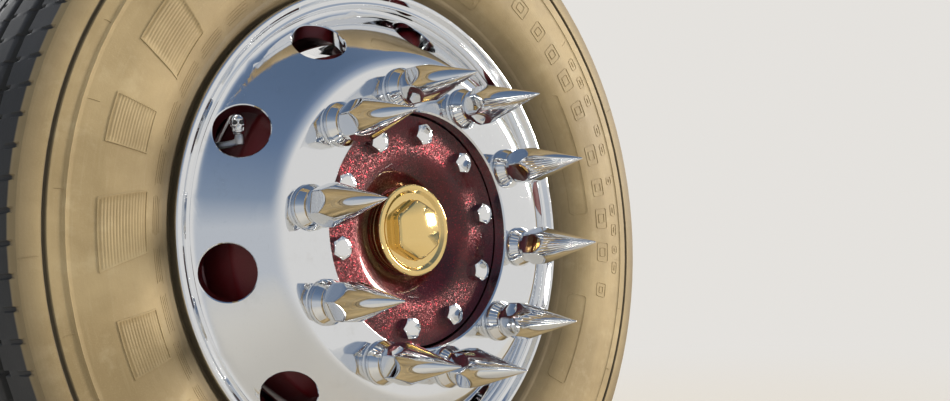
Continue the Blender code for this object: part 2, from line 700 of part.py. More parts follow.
def wheel_rows():
    top = WHEEL_OUTSET + DISC_THICKNESS
    flange_radius = RIM_SEAT_RADIUS + RIM_FLANGE_HEIGHT
    flange_height = RIM_HALF_WIDTH + RIM_FLANGE_THICKNESS
    seat_drop = RIM_SEAT_WIDTH * math.tan(RIM_SEAT_SLOPE)
    seat_end = RIM_HALF_WIDTH - RIM_SEAT_WIDTH
    lip_step_height = flange_height - LIP_STEP_DEPTH
    cone_drop = CONE_THICKNESS / math.cos(DISC_CONE_SLOPE)
    well_inside = RIM_WELL_RADIUS - RIM_WALL
    outboard_face = [
        (WHEEL_BORE_RADIUS, top - BORE_CHAMFER, 0.0),
        (WHEEL_BORE_RADIUS + BORE_CHAMFER, top, 0.0),
        (NUT_FACE_RADIUS, top, NUT_FACE_ROUND),
        (DISC_FOOT_RADIUS, cone_height(DISC_FOOT_RADIUS), GUTTER_ROUND),
        (GUTTER_RADIUS, cone_height(DISC_FOOT_RADIUS), 0.0),
        (LIP_STEP_INNER_RADIUS, lip_step_height, 0.0),
        (LIP_STEP_OUTER_RADIUS, lip_step_height, 0.0),
        (LIP_FACE_RADIUS, flange_height, 0.0),
    ]
    outboard_rim = [
        (flange_radius, flange_height, RIM_FLANGE_ROUND),
        (flange_radius, RIM_HALF_WIDTH, 0.0),
        (RIM_SEAT_RADIUS, RIM_HALF_WIDTH, 0.0),
        (RIM_SEAT_RADIUS - seat_drop, seat_end, 0.0),
        (RIM_WELL_RADIUS, RIM_WELL_OUTBOARD, 0.0),
    ]
    inboard_rim = [
        (RIM_WELL_RADIUS, RIM_WELL_INBOARD, 0.0),
        (RIM_SEAT_RADIUS - seat_drop - RIM_RAMP_DROP, RIM_RAMP_END, 0.0),
        (RIM_SEAT_RADIUS - seat_drop, -seat_end, 0.0),
        (RIM_SEAT_RADIUS, -RIM_HALF_WIDTH, 0.0),
        (flange_radius, -RIM_HALF_WIDTH, 0.0),
        (flange_radius, -flange_height, RIM_FLANGE_ROUND),
        (LIP_FACE_RADIUS, -flange_height, 0.0),
        (RIM_SEAT_RADIUS - RIM_WALL, -RIM_HALF_WIDTH, 0.0),
        (RIM_SEAT_RADIUS - seat_drop - RIM_RAMP_DROP - RIM_WALL, RIM_RAMP_END, 0.0),
    ]
    inside = [
        (well_inside, RIM_WELL_INBOARD, 0.0),
        (well_inside, RIM_SHELF_HEIGHT, 0.0),
        (RIM_INSIDE_RADIUS, RIM_SHELF_HEIGHT, 0.0),
        (RIM_INSIDE_RADIUS, cone_height(RIM_INSIDE_RADIUS) - cone_drop, 0.0),
        (NUT_FACE_RADIUS - cone_drop + DISC_THICKNESS, WHEEL_OUTSET, DISC_BACK_ROUND),
        (WHEEL_BORE_RADIUS, WHEEL_OUTSET, 0.0),
    ]
    return outboard_face + outboard_rim + inboard_rim + inside


def hand_hole_cutter():
    """Ten round punches that stand square on the disc's cone."""
    mesh = bpy.data.meshes.new("hand_hole_punches")
    form = bmesh.new()
    for index in range(STUD_COUNT):
        angle = between_studs_angle(index)
        middle = on_circle(HAND_HOLE_CIRCLE_RADIUS, angle, cone_height(HAND_HOLE_CIRCLE_RADIUS))
        turn = Matrix.Rotation(angle, 4, "Z") @ Matrix.Rotation(DISC_CONE_SLOPE, 4, "Y")
        bmesh.ops.create_cone(form, cap_ends=True, segments=HOLE_SIDES, radius1=HAND_HOLE_RADIUS,
                              radius2=HAND_HOLE_RADIUS, depth=HAND_HOLE_CUT_DEPTH,
                              matrix=Matrix.Translation(middle) @ turn)
    form.to_mesh(mesh)
    form.free()
    return as_cutter(add_object("hand_hole_punches", mesh, cutters))


def build_disc_wheel(frame):
    wheel = turned("disc_wheel", rounded(wheel_rows()), WHEEL_SIDES, parts, "polished_aluminium")
    place(wheel, frame)
    punches = place(hand_hole_cutter(), frame)
    combine(wheel, punches, "DIFFERENCE")


# Nut covers: a pointed turned bar trimmed by a hexagon, on a flared skirt

def cover_mesh():
    corner_radius = COVER_HEX_HALF_FLATS / math.cos(math.pi / HEX_SIDES)
    spike_rows = [
        (0.0, COVER_LENGTH, 0.0),
        (COVER_TIP_RADIUS, COVER_LENGTH - COVER_TIP_RADIUS, 0.0),
        (corner_radius, COVER_CONE_FOOT, 0.0),
        (corner_radius, COVER_HEX_FOOT_TOP, 0.0),
        (COVER_NECK_RADIUS, COVER_NECK_TOP, 0.0),
        (COVER_NECK_RADIUS, COVER_NECK_ROOT, 0.0),
        (0.0, COVER_NECK_ROOT, 0.0),
    ]
    skirt_rows = [
        (0.0, COVER_SKIRT_HEIGHT, 0.0),
        (COVER_SKIRT_RADIUS, COVER_SKIRT_HEIGHT, COVER_SKIRT_ROUND),
        (COVER_SKIRT_RADIUS, 0.0, 0.0),
        (0.0, 0.0, 0.0),
    ]
    spike = turned("cover_spike", rounded(spike_rows, closed=False), COVER_SIDES, cutters, closed=False)
    trim = hexagon("cover_trim", COVER_HEX_HALF_FLATS, -CUT_OVERRUN, COVER_LENGTH + CUT_OVERRUN, cutters)
    combine(spike, as_cutter(trim), "INTERSECT")
    skirt = turned("cover_skirt", rounded(skirt_rows, closed=False), COVER_SIDES, cutters, closed=False)
    combine(skirt, as_cutter(spike), "UNION")
    bpy.context.view_layer.update()
    mesh = bpy.data.meshes.new_from_object(skirt.evaluated_get(bpy.context.evaluated_depsgraph_get()))
    for helper in (skirt, spike, trim):
        bpy.data.objects.remove(helper, do_unlink=True)
    mesh.name = "nut_cover"
    shade(mesh, math.radians(25.0))
    return mesh


def build_nut_covers(frame):
    mesh = cover_mesh()
    mesh.materials.append(make_material("chrome"))
    seat = WHEEL_OUTSET + DISC_THICKNESS + SEAT_GAP
    for index in range(STUD_COUNT):
        cover = add_object(f"nut_cover_{index + 1:02d}", mesh, parts)
        angle = stud_angle(index)
        place(cover, frame, on_circle(STUD_CIRCLE_RADIUS, angle, seat), (0.0, 0.0, angle))


# Hub, its plate, bolts and cap

def build_hub(frame):
    flange_top = WHEEL_OUTSET - 2 * SEAT_GAP - DRUM_WEB
    flange_back = flange_top - HUB_FLANGE_THICKNESS
    seal_end = SPINDLE_INNER_BOTTOM + HUB_SEAL_DEPTH
    rows = [
        (HUB_PILOT_RADIUS, HUB_FACE_HEIGHT, 0.0),
        (HUB_PILOT_RADIUS, flange_top, 0.0),
        (HUB_FLANGE_RADIUS, flange_top, 0.0),
        (HUB_FLANGE_RADIUS, flange_back, 0.0),
        (HUB_BARREL_RADIUS, flange_back - HUB_NECK_DROP, 0.0),
        (HUB_BARREL_END_RADIUS, SPINDLE_INNER_BOTTOM, 0.0),
        (HUB_SEAL_RADIUS, SPINDLE_INNER_BOTTOM, 0.0),
        (HUB_SEAL_RADIUS, seal_end, 0.0),
        (SPINDLE_INNER_RADIUS + RUNNING_GAP, seal_end, 0.0),
        (SPINDLE_INNER_RADIUS + RUNNING_GAP, SPINDLE_INNER_TOP, 0.0),
        (HUB_CAVITY_RADIUS, SPINDLE_INNER_TOP, 0.0),
        (HUB_CAVITY_RADIUS, SPINDLE_OUTER_BOTTOM, 0.0),
        (SPINDLE_OUTER_RADIUS + RUNNING_GAP, SPINDLE_OUTER_BOTTOM, 0.0),
        (SPINDLE_OUTER_RADIUS + RUNNING_GAP, SPINDLE_OUTER_TOP, 0.0),
        (HUB_CAVITY_RADIUS, SPINDLE_OUTER_TOP, 0.0),
        (HUB_CAVITY_RADIUS, HUB_FACE_HEIGHT - HUB_MOUTH_DEPTH, 0.0),
        (HUB_MOUTH_RADIUS, HUB_FACE_HEIGHT, 0.0),
    ]
    place(turned("hub", rounded(rows), WHEEL_SIDES, parts, "drum_red"), frame)


def build_hub_plate(frame):
    neck_bore = CAP_BODY_RADIUS + SEAT_GAP
    neck_radius = neck_bore + PLATE_NECK_WIDTH
    back_height = HUB_FACE_HEIGHT + SEAT_GAP
    spigot_radius = HUB_CAVITY_RADIUS - SEAT_GAP
    rows = [
        (neck_bore, PLATE_NECK_HEIGHT, 0.0),
        (neck_radius, PLATE_NECK_HEIGHT, 0.0),
        (neck_radius + PLATE_NECK_WIDTH, PLATE_NECK_HEIGHT + PLATE_NECK_WIDTH, PLATE_NECK_WIDTH),
        (PLATE_DISH_RADIUS, PLATE_FACE_HEIGHT, PLATE_DISH_ROUND),
        (PLATE_EDGE_RADIUS, PLATE_FACE_HEIGHT, 0.0),
        (PLATE_EDGE_RADIUS, back_height, 0.0),
        (HUB_MOUTH_RADIUS, back_height, 0.0),
        (spigot_radius, back_height - HUB_MOUTH_DEPTH, 0.0),
        (spigot_radius, PLATE_NECK_END, 0.0),
        (neck_bore, PLATE_NECK_END, 0.0),
    ]
    place(turned("hub_plate", rounded(rows), WHEEL_SIDES, parts, "red_flake"), frame)


def build_hub_bolts(frame):
    corner_radius = HUB_BOLT_HALF_FLATS / math.cos(math.pi / HEX_SIDES)
    rows = [
        (0.0, HUB_BOLT_HEAD, 0.0),
        (corner_radius - HUB_BOLT_CHAMFER, HUB_BOLT_HEAD, 0.0),
        (corner_radius, HUB_BOLT_HEAD - HUB_BOLT_CHAMFER, 0.0),
        (corner_radius, 0.0, 0.0),
        (0.0, 0.0, 0.0),
    ]
    seat = PLATE_FACE_HEIGHT + SEAT_GAP
    for index in range(STUD_COUNT):
        bolt = turned(f"hub_bolt_{index + 1:02d}", rounded(rows, closed=False), HEX_SIDES, parts, "chrome",
                      closed=False)
        angle = between_studs_angle(index)
        place(bolt, frame, on_circle(HUB_BOLT_CIRCLE_RADIUS, angle, seat), (0.0, 0.0, angle))


def build_hub_cap(frame):
    flange_bottom = CAP_FACE_HEIGHT - CAP_FLANGE_THICKNESS
    recess_height = CAP_FACE_HEIGHT - CAP_RECESS_DEPTH
    recess_radius = CAP_FLANGE_RADIUS - CAP_RIM_WIDTH
    rows = [
        (0.0, recess_height, 0.0),
        (recess_radius, recess_height, 0.0),
        (recess_radius + CAP_RECESS_DEPTH, CAP_FACE_HEIGHT, 0.0),
        (CAP_FLANGE_RADIUS, CAP_FACE_HEIGHT, CAP_FLANGE_ROUND),
        (CAP_FLANGE_RADIUS, flange_bottom, CAP_FLANGE_ROUND),
        (CAP_BODY_RADIUS, flange_bottom, 0.0),
        (CAP_BODY_RADIUS, CAP_BODY_END, 0.0),
        (0.0, CAP_BODY_END, 0.0),
    ]
    cap = turned("hub_cap", rounded(rows, closed=False), WHEEL_SIDES, parts, "polished_brass", closed=False)
    place(cap, frame)
    corner_radius = CAP_BOSS_HALF_FLATS / math.cos(math.pi / HEX_SIDES)
    shoulder = recess_height + CAP_BOSS_SHOULDER
    root_height = recess_height - CAP_BOSS_ROOT
    dome_rows = [(CAP_BOSS_HALF_FLATS * across, shoulder + CAP_BOSS_CROWN * up, 0.0)
                 for across, up in CAP_CROWN_SHARES]
    dome_rows += [
        (corner_radius, shoulder + CAP_BOSS_CROWN * CAP_BOSS_EDGE_SHARE, 0.0),
        (corner_radius, root_height, 0.0),
        (0.0, root_height, 0.0),
    ]
    boss = turned("cap_boss", rounded(dome_rows, closed=False), SPINDLE_SIDES, cutters, closed=False)
    trim = hexagon("cap_trim", CAP_BOSS_HALF_FLATS, CAP_BODY_END, shoulder + CAP_BOSS_SHOULDER, cutters,
                   CAP_BOSS_CORNER)
    place(as_cutter(boss), frame)
    place(as_cutter(trim), frame)
    combine(boss, trim, "INTERSECT")
    combine(cap, boss, "UNION")


# Brake drum

def build_brake_drum(frame):
    top = WHEEL_OUTSET - SEAT_GAP
    web_bottom = top - DRUM_WEB
    band_top = DRUM_END + DRUM_BAND_WIDTH
    rows = [
        (HUB_PILOT_RADIUS + SEAT_GAP, top, 0.0),
        (DRUM_WEB_RADIUS, top, DRUM_WEB),
        (DRUM_OUTER_RADIUS, DRUM_SHOULDER_HEIGHT, DRUM_WALL),
        (DRUM_OUTER_RADIUS, band_top + DRUM_BAND_HEIGHT, 0.0),
        (DRUM_BAND_RADIUS, band_top, 0.0),
        (DRUM_BAND_RADIUS, DRUM_END, 0.0),
        (DRUM_BORE_RADIUS, DRUM_END, 0.0),
        (DRUM_BORE_RADIUS, DRUM_SHOULDER_HEIGHT - DRUM_WALL, DRUM_WALL),
        (HUB_FLANGE_RADIUS + DRUM_WEB_INSIDE_GAP, web_bottom, 0.0),
        (HUB_PILOT_RADIUS + SEAT_GAP, web_bottom, 0.0),
    ]
    place(turned("brake_drum", rounded(rows), WHEEL_SIDES, parts, "drum_red"), frame)


# Valve stem and its skull-shaped cap

def build_valve(frame):
    hole_angle = between_studs_angle(STUD_COUNT - 1)
    foot = on_circle(VALVE_CIRCLE_RADIUS, hole_angle + VALVE_OFF_HOLE_ANGLE, RIM_SHELF_HEIGHT + SEAT_GAP)
    nut = cylinder("valve_stem", VALVE_NUT_RADIUS, 0.0, VALVE_NUT_HEIGHT, SMALL_SIDES, parts, "zinc_steel")
    place(nut, frame, foot)
    outboard = Vector((0.0, 0.0, 1.0))
    upward = Vector((0.0, 1.0, 0.0))
    bend_start = foot + outboard * VALVE_RISE
    neck = on_circle(SKULL_CIRCLE_RADIUS, hole_angle + SKULL_OFF_HOLE_ANGLE, SKULL_OUTSET)
    bend_end = neck - upward * VALVE_TOP
    foot_pull = bend_start + outboard * VALVE_FOOT_PULL
    top_pull = bend_end - upward * VALVE_TOP_PULL
    bend = bend_points(bend_start, foot_pull, top_pull, bend_end, VALVE_BEND_STEPS)
    stem = tube("stem", [foot + outboard * VALVE_NUT_HEIGHT / 2] + bend + [neck], VALVE_RADIUS)
    place(as_cutter(stem), frame)
    combine(nut, stem, "UNION")
    cap_frame = new_frame("valve_cap_seat", neck + upward * SEAT_GAP, (-math.pi / 2, 0.0, 0.0), frame)
    jaw = cylinder("valve_cap", SKULL_JAW_RADIUS, 0.0, SKULL_JAW_HEIGHT, SMALL_SIDES, parts, "chrome")
    place(jaw, cap_frame)
    cranium = ball("cranium", (SKULL_HALF_WIDTH, SKULL_HALF_LENGTH, SKULL_HALF_HEIGHT))
    place(as_cutter(cranium), cap_frame, (0.0, 0.0, SKULL_CROWN_HEIGHT))
    combine(jaw, cranium, "UNION")
    for side in (-1, 1):
        eye = ball("eye_socket", (SKULL_EYE_RADIUS, SKULL_EYE_RADIUS, SKULL_EYE_RADIUS))
        eye_place = (side * SKULL_EYE_SPACING / 2, -SKULL_EYE_FORWARD, SKULL_EYE_HEIGHT)
        place(as_cutter(eye), cap_frame, eye_place)
        combine(jaw, eye, "DIFFERENCE")


# Knuckle: spindle and flange turned together, with a forked yoke for the axle's end

def kingpin_top():
    return EAR_GAP_HALF_HEIGHT + EAR_HEIGHT


def yoke_outline():
    flange_face = -KINGPIN_TO_RIM_CENTRE - KNUCKLE_FLANGE_OUTBOARD + KNUCKLE_FLANGE_THICKNESS
    root = flange_face - YOKE_FLANGE_OVERLAP
    wall = flange_face + YOKE_WALL
    top = kingpin_top() - EAR_PAD
    gap = EAR_GAP_HALF_HEIGHT + EAR_PAD
    upper = [
        (wall, gap, EAR_CORNER),
        (YOKE_END, gap, 0.0),
        (YOKE_END, top, 0.0),
        (flange_face + YOKE_SHOULDER, top, YOKE_SHOULDER),
        (root, KNUCKLE_FLANGE_RADIUS - YOKE_SHOULDER, 0.0),
    ]
    lower = [(across, -height, rounding) for across, height, rounding in reversed(upper)]
    return rounded(upper + lower)


def build_knuckle(wheel_frame, pin_frame):
    flange_inboard = KNUCKLE_FLANGE_OUTBOARD - KNUCKLE_FLANGE_THICKNESS
    rows = [
        (0.0, SPINDLE_END, 0.0),
        (SPINDLE_THREAD_RADIUS, SPINDLE_END, 0.0),
        (SPINDLE_THREAD_RADIUS, SPINDLE_OUTER_TOP, 0.0),
        (SPINDLE_OUTER_RADIUS, SPINDLE_OUTER_TOP, 0.0),
        (SPINDLE_OUTER_RADIUS, SPINDLE_OUTER_BOTTOM, 0.0),
        (SPINDLE_INNER_RADIUS, SPINDLE_INNER_TOP, 0.0),
        (SPINDLE_INNER_RADIUS, SPINDLE_INNER_BOTTOM, KNUCKLE_FLANGE_ROUND),
        (SPINDLE_ROOT_RADIUS, SPINDLE_INNER_BOTTOM - KNUCKLE_FLANGE_ROUND, 0.0),
        (SPINDLE_ROOT_RADIUS, KNUCKLE_FLANGE_OUTBOARD, 0.0),
        (KNUCKLE_FLANGE_RADIUS, KNUCKLE_FLANGE_OUTBOARD, 0.0),
        (KNUCKLE_FLANGE_RADIUS, flange_inboard, KNUCKLE_FLANGE_ROUND),
        (0.0, flange_inboard, 0.0),
    ]
    outline = rounded(rows, closed=False)
    knuckle = turned("knuckle", outline, SPINDLE_SIDES, parts, "black_steel", closed=False)
    place(knuckle, wheel_frame)
    yoke = extruded("yoke", yoke_outline(), -YOKE_HALF_DEPTH, YOKE_HALF_DEPTH, cutters, bevel=YOKE_BEVEL)
    place(as_cutter(yoke), pin_frame, rotation=(math.pi / 2, 0.0, math.pi / 2))
    combine(knuckle, yoke, "UNION")
    for name, bottom in (("upper_ear", EAR_GAP_HALF_HEIGHT), ("lower_ear", -kingpin_top())):
        ear = cylinder(name, EAR_RADIUS, bottom, bottom + EAR_HEIGHT, SPINDLE_SIDES, cutters)
        place(as_cutter(ear), pin_frame)
        combine(knuckle, ear, "UNION")
    reach = kingpin_top() + CUT_OVERRUN
    bore = cylinder("kingpin_bore", KINGPIN_BORE_RADIUS, -reach, reach, BOSS_SIDES, cutters)
    place(as_cutter(bore), pin_frame)
    combine(knuckle, bore, "DIFFERENCE")


def build_kingpin_caps(pin_frame):
    seat = kingpin_top() + SEAT_GAP
    rows = [
        (0.0, KINGPIN_CAP_HEIGHT + KINGPIN_CAP_DOME, 0.0),
        (KINGPIN_BORE_RADIUS, KINGPIN_CAP_HEIGHT + KINGPIN_CAP_DOME, KINGPIN_CAP_ROUND),
        (KINGPIN_BORE_RADIUS + KINGPIN_CAP_ROUND, KINGPIN_CAP_HEIGHT, 0.0),
        (KINGPIN_CAP_RADIUS, KINGPIN_CAP_HEIGHT, 0.0),
        (KINGPIN_CAP_RADIUS, 0.0, 0.0),
        (0.0, 0.0, 0.0),
    ]
    for name, height, flip in (("kingpin_cap_upper", seat, 0.0), ("kingpin_cap_lower", -seat, math.pi)):
        cap = turned(name, rounded(rows, closed=False), BOSS_SIDES, parts, "black_steel", closed=False)
        place(cap, pin_frame, (0.0, 0.0, height), (flip, 0.0, 0.0))


# Steering arm and tie rod arm, bolted to the yoke's front and back

def arm_outline(eye, root_place):
    """Plan of an arm from the yoke's face to its eye."""
    side = math.copysign(1.0, eye[0])
    root = Vector((side * (YOKE_HALF_DEPTH + SEAT_GAP), root_place))
    along = (Vector(eye) - root).normalized()
    across = Vector((-along.y, along.x))
    neck = root.lerp(Vector(eye), ARM_NECK_SHARE)
    heading = math.atan2(along.y, along.x)
    tip = arc_points(eye, ARM_EYE_RADIUS, heading - ARM_EYE_WRAP, heading + ARM_EYE_WRAP)
    left = [neck + across * ARM_NECK_HALF_WIDTH, root + Vector((0.0, side * ARM_ROOT_HALF_WIDTH))]
    right = [root - Vector((0.0, side * ARM_ROOT_HALF_WIDTH)), neck - across * ARM_NECK_HALF_WIDTH]
    return [tuple(point) for point in left + right] + tip


def build_arm(name, eye, root_place, height, pin_frame):
    outline = arm_outline(eye, root_place)
    arm = extruded(name, outline, height - ARM_THICKNESS / 2, height + ARM_THICKNESS / 2, parts,
                   "black_steel", ARM_BEVEL)
    place(arm, pin_frame)
    bore = cylinder(name + "_eye", ARM_EYE_BORE, height - ARM_THICKNESS, height + ARM_THICKNESS, BOSS_SIDES,
                    cutters)
    place(as_cutter(bore), pin_frame, (eye[0], eye[1], 0.0))
    combine(arm, bore, "DIFFERENCE")


# Brake pieces that stand still: spider, dust shield, cam tube, slack adjuster and air chamber

def build_spider(brake_frame):
    bottom = KNUCKLE_FLANGE_OUTBOARD + SEAT_GAP
    outline = round_bar_outline((0.0, 0.0), SPIDER_RADIUS, (CAM_DISTANCE, 0.0), CAM_LOBE_RADIUS)
    spider = extruded("brake_spider", outline, bottom, bottom + SPIDER_THICKNESS, parts, "black_steel")
    place(spider, brake_frame)
    reach = bottom + SPIDER_THICKNESS + CUT_OVERRUN
    bores = (
        ("spider_bore", SPINDLE_ROOT_RADIUS + SPIDER_BORE_GAP, 0.0),
        ("cam_bore", CAMSHAFT_RADIUS + RUNNING_GAP, CAM_DISTANCE),
    )
    for name, radius, across in bores:
        bore = cylinder(name, radius, bottom - CUT_OVERRUN, reach, SPINDLE_SIDES, cutters)
        place(as_cutter(bore), brake_frame, (across, 0.0, 0.0))
        combine(spider, bore, "DIFFERENCE")


def build_dust_shield(brake_frame):
    top = KNUCKLE_FLANGE_OUTBOARD - SEAT_GAP
    outer_top = top - SHIELD_OFFSET
    inner_radius = KNUCKLE_FLANGE_RADIUS + SHIELD_BORE_GAP
    step_end = SHIELD_STEP_RADIUS + SHIELD_OFFSET
    rows = [
        (inner_radius, top, 0.0),
        (SHIELD_STEP_RADIUS, top, 0.0),
        (step_end, outer_top, 0.0),
        (SHIELD_RADIUS, outer_top, 0.0),
        (SHIELD_RADIUS, outer_top - SHIELD_THICKNESS - SHIELD_EDGE, 0.0),
        (SHIELD_RADIUS - SHIELD_THICKNESS, outer_top - SHIELD_THICKNESS - SHIELD_EDGE, 0.0),
        (SHIELD_RADIUS - SHIELD_THICKNESS, outer_top - SHIELD_THICKNESS, 0.0),
        (step_end - SHIELD_STEP_LEAN, outer_top - SHIELD_THICKNESS, 0.0),
        (SHIELD_STEP_RADIUS - SHIELD_STEP_LEAN, top - SHIELD_THICKNESS, 0.0),
        (inner_radius, top - SHIELD_THICKNESS, 0.0),
    ]
    shield = turned("dust_shield", rounded(rows), WHEEL_SIDES, parts, "black_steel")
    place(shield, brake_frame)
    hole = cylinder("shield_hole", CAM_TUBE_FLANGE_RADIUS + SHIELD_HOLE_GAP,
                    outer_top - SHIELD_THICKNESS - CUT_OVERRUN, top + CUT_OVERRUN, BOSS_SIDES, cutters)
    place(as_cutter(hole), brake_frame, (CAM_DISTANCE, 0.0, 0.0))
    combine(shield, hole, "DIFFERENCE")


def build_cam_tube(cam_frame):
    top = KNUCKLE_FLANGE_OUTBOARD
    bore = CAMSHAFT_RADIUS + RUNNING_GAP
    rows = [
        (bore, top, 0.0),
        (CAM_TUBE_FLANGE_RADIUS, top, 0.0),
        (CAM_TUBE_FLANGE_RADIUS, top - CAM_TUBE_FLANGE, 0.0),
        (CAM_TUBE_RADIUS, top - CAM_TUBE_FLANGE, CAM_TUBE_FLANGE_ROUND),
        (CAM_TUBE_RADIUS, CAM_TUBE_END, 0.0),
        (bore, CAM_TUBE_END, 0.0),
    ]
    place(turned("cam_tube", rounded(rows), BOSS_SIDES, parts, "black_steel"), cam_frame)
    shaft = cylinder("camshaft", CAMSHAFT_RADIUS, CAMSHAFT_END, KNUCKLE_FLANGE_OUTBOARD + SPIDER_THICKNESS,
                     BOSS_SIDES, parts, "zinc_steel")
    place(shaft, cam_frame)


def build_slack_adjuster(cam_frame):
    bottom = SLACK_PLANE - SLACK_THICKNESS / 2
    top = SLACK_PLANE + SLACK_THICKNESS / 2
    outline = round_bar_outline((0.0, 0.0), SLACK_HUB_RADIUS, (0.0, SLACK_ARM_LENGTH), SLACK_TIP_RADIUS)
    slack = extruded("slack_adjuster", outline, bottom, top, parts, "black_steel", SLACK_BEVEL)
    place(slack, cam_frame)
    worm = cylinder("worm_housing", SLACK_WORM_RADIUS, -SLACK_WORM_HALF_LENGTH, SLACK_WORM_HALF_LENGTH,
                    SMALL_SIDES, cutters)
    place(as_cutter(worm), cam_frame, (0.0, SLACK_WORM_PLACE, SLACK_PLANE), (0.0, math.pi / 2, 0.0))
    combine(slack, worm, "UNION")
    bores = (("spline_bore", CAMSHAFT_RADIUS, 0.0), ("pin_bore", CLEVIS_PIN_RADIUS, SLACK_ARM_LENGTH))
    for name, radius, height in bores:
        bore = cylinder(name, radius + RUNNING_GAP, bottom - CUT_OVERRUN, top + CUT_OVERRUN, BOSS_SIDES,
                        cutters)
        place(as_cutter(bore), cam_frame, (0.0, height, 0.0))
        combine(slack, bore, "DIFFERENCE")


def build_pushrod(cam_frame):
    """Forked end, its pin and the rod that runs into the air chamber."""
    slot_half = SLACK_THICKNESS / 2 + RUNNING_GAP
    outer_half = slot_half + CLEVIS_EAR
    outline = [
        (-CLEVIS_BACK, outer_half),
        (-CLEVIS_BACK, slot_half),
        (CLEVIS_SLOT, slot_half),
        (CLEVIS_SLOT, -slot_half),
        (-CLEVIS_BACK, -slot_half),
        (-CLEVIS_BACK, -outer_half),
        (CLEVIS_LENGTH, -outer_half),
        (CLEVIS_LENGTH, outer_half),
    ]
    clevis = extruded("pushrod", outline, -CLEVIS_HALF_HEIGHT, CLEVIS_HALF_HEIGHT, parts, "zinc_steel")
    pin_place = (0.0, SLACK_ARM_LENGTH, SLACK_PLANE)
    place(clevis, cam_frame, pin_place, (math.pi / 2, 0.0, 0.0))
    rod_end = CHAMBER_DISTANCE + CHAMBER_MOUTH_DEPTH - RUNNING_GAP
    rod = cylinder("rod", PUSHROD_RADIUS, CLEVIS_LENGTH - CLEVIS_EAR, rod_end, SMALL_SIDES, cutters)
    place(as_cutter(rod), cam_frame, pin_place, (0.0, math.pi / 2, 0.0))
    combine(clevis, rod, "UNION")
    hole = cylinder("clevis_hole", CLEVIS_PIN_RADIUS + RUNNING_GAP, -outer_half - CUT_OVERRUN,
                    outer_half + CUT_OVERRUN, SMALL_SIDES, cutters)
    place(as_cutter(hole), cam_frame, pin_place)
    combine(clevis, hole, "DIFFERENCE")
    pin_half = outer_half + CLEVIS_PIN_STANDOUT
    pin = cylinder("clevis_pin", CLEVIS_PIN_RADIUS, -pin_half, pin_half, SMALL_SIDES, parts, "zinc_steel")
    place(pin, cam_frame, pin_place)


def build_chamber(cam_frame):
    clamp_bottom = (CHAMBER_HEIGHT - CHAMBER_CLAMP_HEIGHT) / 2
    clamp_top = clamp_bottom + CHAMBER_CLAMP_HEIGHT
    rows = [
        (0.0, CHAMBER_HEIGHT, 0.0),
        (CHAMBER_RADIUS, CHAMBER_HEIGHT, CHAMBER_ROUND),
        (CHAMBER_RADIUS, clamp_top, 0.0),
        (CHAMBER_CLAMP_RADIUS, clamp_top, 0.0),
        (CHAMBER_CLAMP_RADIUS, clamp_bottom, 0.0),
        (CHAMBER_RADIUS, clamp_bottom, 0.0),
        (CHAMBER_BASE_RADIUS, 0.0, CHAMBER_BASE_ROUND),
        (CHAMBER_MOUTH_RADIUS, 0.0, 0.0),
        (CHAMBER_MOUTH_RADIUS, CHAMBER_MOUTH_DEPTH, 0.0),
        (0.0, CHAMBER_MOUTH_DEPTH, 0.0),
    ]
    chamber = turned("brake_chamber", rounded(rows, closed=False), SPINDLE_SIDES, parts, "black_steel",
                     closed=False)
    place(chamber, cam_frame, (CHAMBER_DISTANCE, SLACK_ARM_LENGTH, SLACK_PLANE), (0.0, math.pi / 2, 0.0))


def build_chamber_bracket(cam_frame):
    web_bottom = CAM_TUBE_END + BRACKET_TUBE_END
    web_top = web_bottom + BRACKET_THICKNESS
    shelf_face = CHAMBER_DISTANCE - SEAT_GAP
    shelf_middle = shelf_face - BRACKET_THICKNESS / 2
    tip_radius = BRACKET_SHELF_HALF_WIDTH - BRACKET_THICKNESS
    tip = (shelf_face - tip_radius - BRACKET_THICKNESS / 2, SLACK_ARM_LENGTH)
    outline = round_bar_outline((0.0, 0.0), BRACKET_CLAMP_RADIUS, tip, tip_radius)
    bracket = extruded("chamber_bracket", outline, web_bottom, web_top, parts, "black_steel")
    place(bracket, cam_frame)
    shelf = block("shelf", (BRACKET_THICKNESS, BRACKET_SHELF_HALF_WIDTH * 2, BRACKET_SHELF_DEPTH))
    shelf_height = web_top - BRACKET_SHELF_DEPTH / 2
    place(as_cutter(shelf), cam_frame, (shelf_middle, SLACK_ARM_LENGTH, shelf_height))
    combine(bracket, shelf, "UNION")
    clamp_bore = cylinder("clamp_bore", CAM_TUBE_RADIUS + SEAT_GAP, web_bottom - CUT_OVERRUN,
                          web_top + CUT_OVERRUN, BOSS_SIDES, cutters)
    place(as_cutter(clamp_bore), cam_frame)
    combine(bracket, clamp_bore, "DIFFERENCE")
    rod_hole = cylinder("rod_hole", CHAMBER_MOUTH_RADIUS, -BRACKET_THICKNESS, BRACKET_THICKNESS, BOSS_SIDES,
                        cutters)
    hole_place = (shelf_middle, SLACK_ARM_LENGTH, SLACK_PLANE)
    place(as_cutter(rod_hole), cam_frame, hole_place, (0.0, math.pi / 2, 0.0))
    combine(bracket, rod_hole, "DIFFERENCE")


clear_scene()
parts = new_collection("truck_front_wheel_end")
cutters = new_collection("cutters")
wheel_axis = new_frame("wheel_axis", (0.0, -KINGPIN_TO_RIM_CENTRE, 0.0), (math.pi / 2, 0.0, 0.0))
kingpin_axis = new_frame("kingpin_axis", (0.0, 0.0, 0.0), (-KINGPIN_LEAN, 0.0, 0.0))
brake_axis = new_frame("brake_axis", (0.0, 0.0, 0.0), (0.0, 0.0, BRAKE_ANGLE), wheel_axis)
cam_axis = new_frame("cam_axis", on_circle(CAM_DISTANCE, BRAKE_ANGLE, 0.0), (0.0, 0.0, 0.0), wheel_axis)

